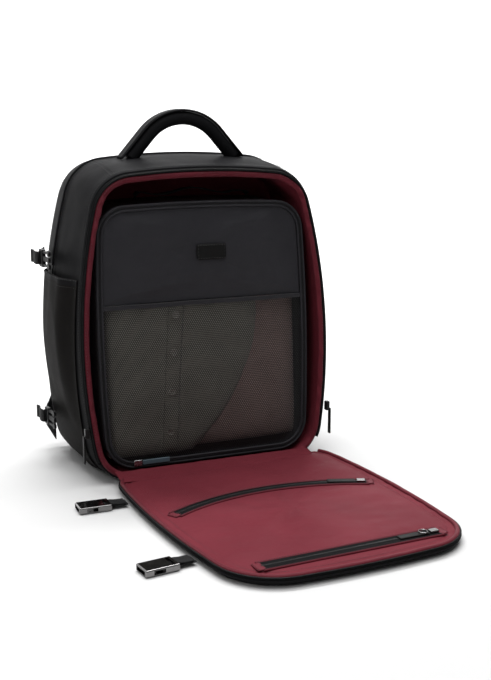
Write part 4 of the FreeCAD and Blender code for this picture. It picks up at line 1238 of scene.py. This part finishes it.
def build_pocket_zips():
    half_angle = math.asin(CURVED_ZIP_HALF / CURVED_ZIP_RADIUS)

    def curved(shift, share=1.0, z=ZIP_Z):
        a = np.linspace(-half_angle, half_angle, 160) * share
        radius = CURVED_ZIP_RADIUS + shift
        y = CURVED_ZIP_CENTRE_Y + radius * np.cos(a)
        return np.stack([radius * np.sin(a), y, np.full(len(a), z)], 1)

    def straight(shift, share=1.0, z=ZIP_Z):
        x = np.linspace(-STRAIGHT_ZIP_HALF, STRAIGHT_ZIP_HALF, 100) * share
        return np.stack([x, np.full(len(x), STRAIGHT_ZIP_Y + shift), np.full(len(x), z)], 1)

    for name, line, width in (("curved", curved, 0.012), ("straight", straight, 0.016)):
        sweep(name + "_zip_cloth", line(0.0, z=0.0144), strap_profile(width + 0.004, 0.0012), "zip_tape",
              "flap", slot="zip_tape", replaces=[name + "_zip_tape"])
        coil(name + "_zip_coil", line(0.0, share=0.99, z=0.0150), (0, 0, 1), "zip_coil", "flap",
             width=0.0040, height=0.0008, pitch=0.0018, slot="zip_tape")
        lips = []
        for label, sign in (("far", -1), ("near", 1)):
            lip = line(sign * (width / 2 + 0.0032), share=1.01, z=0.0140)
            sweep("%s_zip_lip_%s" % (name, label), lip, round_profile(0.0015, 8), "lining_piping", "flap",
                  slot="lining")
            lips.append((line(sign * (width / 2 + 0.0034), share=1.005, z=0.0156), (0, 0, 1)))
        stitches(name + "_zip_stitching", lips, "thread_burgundy", "flap", radius=0.0004, slot="lining")
        middle = line(0.0)
        for label, tip, inner in (("left", middle[0], middle[2]), ("right", middle[-1], middle[-3])):
            end_patch("%s_zip_end_%s" % (name, label), tip, tip - inner, width)

    # a D-shaped ring that lies over the straight zip's leather tab and lifts with it
    corners = [v.co for v in NODES["straight_zip_slider"].data.vertices]
    ring_x = swayed(corners, way=-1.0)[:, 0].min() - 0.0010
    a = np.linspace(0, 2 * math.pi, 40, endpoint=False)
    ring = np.stack([ring_x - 0.0085 + 0.0054 * np.cos(a),
                     STRAIGHT_ZIP_Y + 0.0056 * np.sin(a) * (1 + 0.15 * np.cos(a)), np.full(40, 0.0182)], 1)
    sweep("straight_zip_ring", ring, round_profile(0.0008, 8), "gunmetal", "straight_tab", closed=True,
          slot="zip_metal")
    for label in ("curved", "straight"):
        tab_thread(label)


SQUARE = ((-1, -1), (1, -1), (1, 1), (-1, 1), (-1, -1))      # once round a rectangle's corners


def end_patch(name, tip, direction, width):
    """The stitched square of lining cloth that closes a zip's end."""
    direction = direction / np.linalg.norm(direction)
    across = np.array([-direction[1], direction[0], 0])
    u = np.linspace(-1, 1, 15)
    uu, vv = np.meshgrid(u, u)
    size_u, size_v = width * 0.62, 0.0056
    rim = 1 - np.maximum(np.abs(uu), np.abs(vv))
    base = tip + direction * 0.0022
    flat = base + across * (uu[..., None] * size_u) + direction * (vv[..., None] * size_v)
    top, under = flat.copy(), flat.copy()
    top[..., 2] = 0.0144 + 0.0009 * smooth(0, 0.18, rim)
    under[..., 2] = 0.0140
    slab(name, top, under, "lining_piping", "flap", slot="lining")
    raised = base + [0, 0, 0.0155 - base[2]]
    line = [raised + (across * (a * size_u) + direction * (b * size_v)) * 0.78 for a, b in SQUARE]
    runs = [(np.array([p, q]), (0, 0, 1)) for p, q in zip(line, line[1:])]
    stitches(name + "_thread", runs, "thread_burgundy", "flap", pitch=0.003, length=0.0022, slot="lining")


def tab_thread(label):
    """Thread round the border of a leather tab, on its upper face."""
    node = NODES[label + "_zip_tab"]
    points = swayed([v.co for v in node.data.vertices], way=-1.0)
    middle = points.mean(0)
    flat = points[:, :2] - middle[:2]
    vectors = np.linalg.eigh(flat.T @ flat)[1]
    along, across = vectors[:, 1], vectors[:, 0]
    half_l = np.abs(flat @ along).max() - 0.0022
    half_w = np.abs(flat @ across).max() - 0.0020
    top = points[:, 2].max() + 0.0001
    line = [np.append(middle[:2] + along * a * half_l + across * b * half_w, top) for a, b in SQUARE]
    runs = [(np.array([p, q]), (0, 0, 1)) for p, q in zip(line, line[1:])]
    stitches(label + "_tab_stitching", runs, "thread_black", label + "_tab", pitch=0.0026, length=0.0018,
             radius=0.00028, slot="tab_leather")


# name, height on the closed panel, side, length of webbing outside the edge, tucked under the panel
FLAP_STRAPS = (("lower_left", STRAP_LOW_Z, -1.0, 0.024, False),
               ("upper_left", STRAP_HIGH_Z, -1.0, 0.024, False),
               ("lower_right", STRAP_LOW_Z, 1.0, 0.016, True),
               ("upper_right", STRAP_HIGH_Z, 1.0, 0.016, True))


def build_flap_straps():
    for name, height, sign, web_length, tucked in FLAP_STRAPS:
        edge = FLAP.side_c[0] + math.sqrt(FLAP_SIDE_RADIUS ** 2 - (height - WIDEST_Z) ** 2)
        slope = math.asin((height - WIDEST_Z) / FLAP_SIDE_RADIUS)
        way = -1.0 if tucked else 1.0
        out = np.array([way * math.cos(slope), -way * math.sin(slope)])
        root = np.array([edge + 0.0012, HINGE_Y - (height - HINGE_Z)])

        def run(stations, middle_z, up):
            points = []
            for reach, lift in stations:
                x, y = root + out * reach
                points.append((sign * x, y, middle_z + up * lift))
            return points

        body = "flap_strap_" + name
        line = run(((0.0010, 0.0), (web_length * 0.5, 0.0003), (web_length - 0.001, 0.0),
                    (web_length + 0.0070, 0.0)), 0.0045, 1.0)
        sweep("flap_web_" + name, curve_through(line, 30), strap_profile(WEBBING_WIDTH, 0.0017),
              "webbing_cloth", body, slot="webbing", replaces=["flap_webbing_" + name])
        span = web_length - 0.006
        fold = run(((web_length + 0.004, 0.0022), (web_length - 0.001, 0.0030),
                    (web_length - span * 0.5, 0.0021), (0.004, 0.0020)), 0.0046, way)
        sweep("flap_web_fold_" + name, curve_through(fold, 24), strap_profile(WEBBING_WIDTH - 0.0006, 0.0015),
              "webbing_cloth", body, slot="webbing")


# ---- packing cube ---------------------------------------------------------------------------
CUBE_BORDER = 0.009


def on_cube(loop, offset=0.0):
    """A loop (x, z) on the cube's leaning front, pushed back along Y by an offset."""
    return np.stack([loop[:, 0], rim_y(loop[:, 1]) + CUBE_SET_BACK + offset, loop[:, 1]], 1)


def build_cube_shell():
    loop = CUBE.clipped(0.0, count=360)
    middle = np.array([0.0, 0.2])
    front_y = rim_y(loop[:, 1]) + CUBE_SET_BACK
    rings = []
    for share, depth in ((0.02, 0.0040), (0.010, 0.0026), (0.002, 0.0023)):
        q = loop - (loop - middle) * share
        rings.append(np.stack([q[:, 0], front_y + depth, q[:, 1]], 1))
    for t in np.linspace(0.02, 1, 20):
        y = front_y + 0.0022 + (CUBE_BACK_Y - front_y - 0.0026) * t
        p = np.stack([loop[:, 0], y, loop[:, 1]], 1)
        dip = (0.5 + 0.5 * rumple(p * [1, 0.5, 1], 0.045, 18)) * smooth(0, 0.2, t) * smooth(0, 0.1, 1 - t)
        reach = np.maximum(np.linalg.norm(loop - middle, axis=1, keepdims=True), 0.1)
        q = middle + (loop - middle) * (1 - dip[:, None] * 0.0045 / reach)
        rings.append(np.stack([q[:, 0], y, q[:, 1]], 1))
    for k in np.linspace(0.97, 0.02, 10):
        q = middle + (loop - middle) * k
        rings.append(np.stack([q[:, 0], np.full(len(q), CUBE_BACK_Y - 0.0002), q[:, 1]], 1))
    obj = surface("cube_body", rings, "cube_nylon", "cube", wrap_cols=True, thickness=0.0008,
                  slot="cube_nylon", replaces=["cube_shell"])


def build_cube_front():
    base = CUBE.clipped(0.0046, count=520)
    band = on_cube(base, 0.0006)
    sweep("cube_band", band, strap_profile(0.0085, 0.0022), "cube_nylon", "cube", up=(0, 1, 0), closed=True,
          slot="cube_nylon", replaces=["cube_piping"])
    for name, inset in (("outer", 0.0017), ("inner", 0.0078)):
        line = on_cube(CUBE.clipped(inset, count=520), 0.0001)
        line[:, 1] += 0.0004 * rumple(line, 0.02, 19)
        sweep("cube_cord_" + name, line, round_profile(0.0017, 10), "cube_nylon", "cube", up=(0, 1, 0),
              closed=True, slot="cube_nylon")
    zip_line = on_cube(CUBE.clipped(0.0047, count=620), -0.0005)
    coil("cube_zip_coil", zip_line, (0, -1, 0), "zip_coil", "cube", width=0.0030, height=0.0006, pitch=0.0019,
         slot="zip_tape")

    loop = CUBE.clipped(CUBE_BORDER + 0.0004, low=HEM_Z + 0.003, count=420)
    steps = (0.0, 0.0012, 0.003, 0.006, 0.010, 0.015)
    rings = []
    for ring in disc_rings(loop, steps, np.linspace(0.95, 0.02, 36)):
        at = on_cube(ring)
        depth = np.linalg.norm(ring - loop, axis=1)
        puff = smooth(0, 0.045, depth)
        wave = rumple(at * [1, 0, 1], 0.06, 21) + 0.4 * rumple(at * [1, 0, 1.4], 0.022, 22)
        at[:, 1] += 0.0014 - puff * (0.0036 + 0.0016 * wave)
        rings.append(at)
    panel = surface("cube_panel", rings, "cube_nylon", "cube", wrap_cols=True, thickness=0.0009,
                    slot="cube_nylon", replaces=["cube_upper_panel"])

    half = CUBE_HALF_WIDTH - CUBE_BORDER
    x = np.linspace(-half, half, 120)
    hem = on_cube(np.stack([x, np.full(120, HEM_Z)], 1), 0.0002)
    hem[:, 1] -= 0.0026 * (1 - (x / half) ** 2) ** 0.5
    hem[:, 2] += 0.0008 * rumple(hem, 0.03, 23)
    sweep("cube_hem", hem, strap_profile(0.0068, 0.0016)[:, ::-1], "cube_nylon", "cube", slot="cube_nylon")
    rows = [(hem[2:-2] + [0, -0.0010, dz], (0, -1, 0)) for dz in (-0.0024, 0.0024)]
    rows += build_patch()
    stitches("cube_stitching", rows, "thread_black", "cube", slot="cube_nylon")


PATCH_AT = np.array([0.010, 0.319])            # (x, z) of the plain patch's middle
PATCH_HALF = np.array([0.0225, 0.0112])


def build_patch():
    """A plain sewn-on patch; gives back the rows of its stitching."""
    u, v = np.meshgrid(np.linspace(-1, 1, 30), np.linspace(-1, 1, 18))
    squash = 1 - 0.06 * (u * v) ** 4
    xx, zz = PATCH_AT[0] + PATCH_HALF[0] * u * squash, PATCH_AT[1] + PATCH_HALF[1] * v * squash
    rim = np.minimum((1 - np.abs(u)) * PATCH_HALF[0], (1 - np.abs(v)) * PATCH_HALF[1])
    yy = rim_y(zz) + CUBE_SET_BACK - 0.0048
    top = np.stack([xx, yy - 0.0012 * smooth(0, 0.0012, rim) * (1 - 0.035 * u * u), zz], -1)
    under = np.stack([xx, yy + 0.0012, zz], -1)
    slab("cube_patch", top, under, "tab_leather", "cube", slot="tab_leather")
    ring = on_cube(PATCH_AT + PATCH_HALF * np.array(SQUARE) * [0.9, 0.82], -0.0061)
    return [(np.array([p, q]), (0, -1, 0)) for p, q in zip(ring, ring[1:])]


NET_PITCH = 0.0031
NET_HOLE = 0.74                   # width of a hole as a share of its cell


def build_net():
    """The mesh window: a sheet with a hexagonal hole in every cell."""
    rise = NET_PITCH * math.sqrt(3) / 2
    border, top = CUBE_BORDER - 0.0012, HEM_Z - 0.0015
    window = CUBE.clipped(border, high=top, count=400)
    low, high = window.min(0), window.max(0)
    rows, cols = int((high[1] - low[1]) / rise) + 2, int((high[0] - low[0]) / NET_PITCH) + 2
    i, j = np.meshgrid(np.arange(rows), np.arange(cols), indexing="ij")
    centre = np.stack([low[0] + (j + 0.5 * (i % 2)) * NET_PITCH, low[1] + i * rise], -1).reshape(-1, 2)
    inside_low, inside_high = CUBE.span(centre[:, 0], border)
    keep = (centre[:, 1] > inside_low) & (centre[:, 1] < np.minimum(inside_high, top))
    keep &= np.abs(centre[:, 0]) < CUBE_HALF_WIDTH - CUBE_BORDER + 0.0008
    centre = centre[keep]
    a = np.arange(6) * math.pi / 3 + math.pi / 6
    hexagon = np.stack([np.cos(a), np.sin(a)], 1) * NET_PITCH / math.sqrt(3)
    outer = centre[:, None] + hexagon[None]
    inner = centre[:, None] + hexagon[None] * NET_HOLE
    both = np.concatenate([outer, inner], 1).reshape(-1, 2)
    at = on_cube(both)
    from_side = CUBE_HALF_WIDTH - CUBE_BORDER - np.abs(both[:, 0])
    belly = smooth(0, 0.03, np.minimum(from_side, both[:, 1] - low[1]))
    wave = rumple(at[::12] * [1, 0, 1], 0.06, 24)
    at[:, 1] += 0.0014 - belly * (0.0022 + 0.0010 * np.repeat(wave, 12))
    count = len(centre)
    start = np.arange(count)[:, None] * 12
    k = start + np.arange(6)
    after = start + (np.arange(6) + 1) % 6
    faces = np.stack([k, after, after + 6, k + 6], -1).reshape(-1, 4)
    net = piece("cube_net", at, faces, "net_thread", "cube", uv=both, slot="cube_mesh", smooth_faces=False,
                replaces=["cube_mesh_window"])
    bm = bmesh.new()
    bm.from_mesh(net.data)
    bmesh.ops.remove_doubles(bm, verts=bm.verts, dist=0.0003)
    bm.to_mesh(net.data)
    bm.free()


def build_carry_strap():
    """A loop of webbing that lies slack on top of the cube."""
    points = [(-0.0862, 0.3925), (-0.0865, 0.3985), (-0.0800, 0.4030), (-0.0560, 0.3985), (-0.0330, 0.4010),
              (-0.0120, 0.4062), (0.0060, 0.4068), (0.0260, 0.4030), (0.0480, 0.3988), (0.0700, 0.4012),
              (0.0850, 0.3992), (0.0862, 0.3925)]
    path = curve_through([(x, -0.043, z) for x, z in points], 90)
    sweep("cube_carry_web", path, strap_profile(0.0178, 0.0018), "webbing_cloth", "cube", up=(0, 0.02, 1),
          slot="webbing", replaces=["cube_carry_strap"])


# ---- clothes in the cube --------------------------------------------------------------------
CLOTHES_BEND_Z = 0.245            # below this the shirt's side draws in


def drawn_side(z, z0, drawn_in):
    return drawn_in * (1 - np.clip((z - z0) / (CLOTHES_BEND_Z - z0), 0, 1)) ** 2.3


def cloth_block(name, x0, x1, z0, z1, front, back_y, material, slot, node, seed, layers=0, drawn_in=0.0):
    """Folded cloth: a soft block whose front is crowned, with the edges of its folds along its side."""
    u = np.sin(np.linspace(-math.pi / 2, math.pi / 2, 90))
    v = np.sin(np.linspace(-math.pi / 2, math.pi / 2, 110))[:, None]
    rounded = (1 - np.abs(u[None]) ** 10) ** 0.5 * (1 - np.abs(v) ** 12) ** 0.5
    x = (x0 + x1) / 2 + (x1 - x0) / 2 * u[None] * (1 - 0.012 * np.abs(v) ** 6)
    z = (z0 + z1) / 2 + (z1 - z0) / 2 * v * (1 - 0.010 * np.abs(u[None]) ** 6)
    x, z = x + 0 * v, z + 0 * u[None]
    x = x - drawn_side(z, z0, drawn_in) * (x - x0) / (x1 - x0)
    at = np.stack([x, rim_y(z) + CUBE_SET_BACK + front, z], -1)
    soft = 0.5 + 0.5 * rumple(at * [1, 0, 1], 0.07, seed)
    soft += 0.22 * rumple(at * [1.5, 0, 0.7], 0.025, seed + 1)
    top = at.copy()
    top[..., 1] += 0.0035 * np.clip(soft, 0, 1.4) + (1 - rounded) * 0.012
    under = at.copy()
    under[..., 1] = np.maximum(top[..., 1] + 0.004, back_y)
    obj = slab(name, top, under, material, "cube", slot=slot, replaces=[node] if node else ())
    for k in range(layers):
        share = (k + 1) / (layers + 1)
        z_line = np.linspace(z0 + 0.010, z1 - 0.012, 70)
        edge = np.stack([x1 - drawn_side(z_line, z0, drawn_in) - 0.0012, z_line], 1)
        line = on_cube(edge, front + 0.006 + share * 0.018)
        line[:, 0] += 0.0008 * rumple(line, 0.03, seed + 3 + k)
        sweep("%s_fold_%d" % (name, k), line, round_profile(0.0026, 8), material, "cube", up=(0, 1, 0),
              slot=slot)
    return top


def build_clothes():
    cloth_block("folded_garment_cloth", -0.128, 0.150, 0.020, 0.370, 0.058, 0.0055, "garment_knit",
                "garment_cloth", "folded_garment", 31)
    cloth_block("garment_front_cloth", -0.0300, 0.1500, 0.031, 0.305, 0.0125, -0.062, "garment_knit",
                "garment_cloth", None, 33)
    shirt = cloth_block("folded_shirt_cloth", -0.147, 0.088, 0.026, 0.305, 0.0062, -0.064, "shirt_cloth",
                        "shirt_cloth", "folded_shirt", 35, layers=2, drawn_in=0.110)

    def front_of_shirt(x, z):
        distance = np.hypot(shirt[..., 0] - x, shirt[..., 2] - z)
        return float(shirt[..., 1].flat[int(np.argmin(distance))])

    z = np.linspace(0.032, 0.243, 60)
    centre_x = -0.060 + 0.016 * (z - 0.03) / 0.2
    half = 0.0135
    u = np.linspace(-1, 1, 9)
    top = []
    for cx, zz in zip(centre_x, z):
        top.append([(cx + half * k, front_of_shirt(cx + half * k, zz) - 0.0010 * (1 - k ** 6), zz) for k in u])
    top = np.array(top)
    under = top + [0, 0.0016, 0]
    slab("shirt_placket", top, under, "shirt_cloth", "cube", slot="shirt_cloth")
    rows = []
    for k in (-0.82, 0.82):
        line = np.array([(cx + half * k, front_of_shirt(cx, zz) - 0.0016, zz) for cx, zz in zip(centre_x, z)])
        rows.append((line, (0, -1, 0)))
    stitches("shirt_stitching", rows, "thread_black", "cube", pitch=0.0030, length=0.0026, slot="shirt_cloth")
    for k, zz in enumerate((0.060, 0.118, 0.176, 0.230)):
        cx = float(np.interp(zz, z, centre_x))
        shirt_button("shirt_button_%d" % k, (cx, front_of_shirt(cx, zz) - 0.0014, zz))


def shirt_button(name, at):
    """A turned button with a raised rim and four dimples."""
    radius = 0.0055
    profile = [(0.45, -0.0008), (0.66, -0.0010), (0.8, -0.0017), (0.95, -0.0017), (1.0, -0.0010),
               (0.98, 0.0000), (0.6, 0.0003)]
    a = np.arange(32) * 2 * math.pi / 32
    circle = np.stack([np.cos(a), np.zeros(32), np.sin(a)], 1)
    rings = [np.array(at) + circle * radius * r + [0, y, 0] for r, y in profile]
    for k in range(32):
        if k % 8 in (3, 4, 5):
            rings[0][k, 1] += 0.0005
    tube(name, rings, "button_horn", "cube", slot="shirt_cloth")


# ---- moulded, metal and hidden parts that keep their modelled shape --------------------------
def finish_nodes():
    looks = {"ladder_locks": "buckle_acetal", "base_board": "board", "divider_panel": "coated_cloth",
             "laptop_sleeve": "coated_cloth", "curved_zip_slider": "gunmetal",
             "straight_zip_slider": "gunmetal", "cube_zip_slider": "slider_metal",
             "curved_zip_tab": "tab_leather", "straight_zip_tab": "tab_leather", "cube_zip_tab": "tab_slate"}
    for side, _ in SIDES:
        looks["main_slider_" + side] = "buckle_acetal"
        looks["main_puller_" + side] = "tab_leather"
        for level in ("upper", "lower"):
            looks["male_buckle_%s_%s" % (level, side)] = "buckle_acetal"
    for name, *_ in FLAP_STRAPS:
        looks["female_buckle_" + name] = "gunmetal"
    for node, look in looks.items():
        obj = NODES[node]
        obj.data.materials.clear()
        obj.data.materials.append(MAT[look])


# ---- floor, light and camera ----------------------------------------------------------------
CAMERA_AT = (-0.5867, -1.5813, 0.5233)
CAMERA_AZIMUTH = 23.60
CAMERA_PITCH = 11.77
CAMERA_LENS = 59.54
WORLD_STRENGTH = 0.16
# name, place, target, width, height, power
LIGHTS = (("overhead", (0.3, -0.2, 4.2), (0.1, 0.0, 0), 5.0, 4.0, 250),
          ("backdrop", (0.5, 1.9, 4.6), (0.8, 5.0, 1.6), 5.0, 2.0, 760),
          ("key", (-2.4, -2.6, 2.6), (0, -0.1, 0.15), 1.4, 1.4, 30))
FLOOR_Y = (-7.0, 3.2)             # the flat part of the white sweep
FLOOR_Z = -0.0004
FLOOR_HALF_WIDTH = 9.0
SWEEP_RADIUS = 1.6                # it then curves up into a backdrop
SWEEP_TOP_Z = 8.0


def build_stage():
    """A white sweep: a floor that curves up into a backdrop well behind the bag."""
    near, far = FLOOR_Y
    profile = [(near, FLOOR_Z), (far, FLOOR_Z)]
    for a in np.linspace(0.1, math.pi / 2, 14):
        profile.append((far + SWEEP_RADIUS * math.sin(a), FLOOR_Z + SWEEP_RADIUS * (1 - math.cos(a))))
    profile.append((far + SWEEP_RADIUS, SWEEP_TOP_Z))
    across = np.linspace(-FLOOR_HALF_WIDTH, FLOOR_HALF_WIDTH, 7)
    grid = np.array([[(x, y, z) for x in across] for y, z in profile])
    surface("floor", grid, "floor_paper", None)

    world = bpy.data.worlds.new("studio")
    world.use_nodes = True
    back = world.node_tree.nodes["Background"]
    back.inputs["Color"].default_value = (1, 1, 1, 1)
    back.inputs["Strength"].default_value = WORLD_STRENGTH
    bpy.context.scene.world = world

    for name, at, target, width, height, power in LIGHTS:
        data = bpy.data.lights.new(name, "AREA")
        data.shape = "RECTANGLE"
        data.size, data.size_y, data.energy = width, height, power
        obj = bpy.data.objects.new(name, data)
        obj.location = at
        obj.rotation_euler = (Vector(target) - Vector(at)).to_track_quat("-Z", "Y").to_euler()
        bpy.context.scene.collection.objects.link(obj)


def build_camera():
    data = bpy.data.cameras.new("camera")
    data.sensor_fit = "AUTO"
    data.sensor_width = 36.0
    data.lens = CAMERA_LENS
    obj = bpy.data.objects.new("camera", data)
    azimuth, pitch = math.radians(CAMERA_AZIMUTH), math.radians(CAMERA_PITCH)
    level = Vector((math.sin(azimuth), math.cos(azimuth), 0.0))
    forward = level * math.cos(pitch) - Vector((0.0, 0.0, math.sin(pitch)))
    obj.location = CAMERA_AT
    obj.rotation_euler = forward.to_track_quat("-Z", "Y").to_euler()
    bpy.context.scene.collection.objects.link(obj)
    bpy.context.scene.camera = obj



build_camera()
build_stage()
build_shell()
build_rim()
build_lining()
build_hinge()
build_handle()
build_pockets()
build_side_straps()
build_back_pads()
build_shoulder_straps()
build_back_webbing()
build_flap()
build_pocket_zips()
build_flap_straps()
build_cube_shell()
build_cube_front()
build_net()
build_carry_strap()
build_clothes()
finish_nodes()
bpy.context.scene.view_settings.view_transform = "Standard"
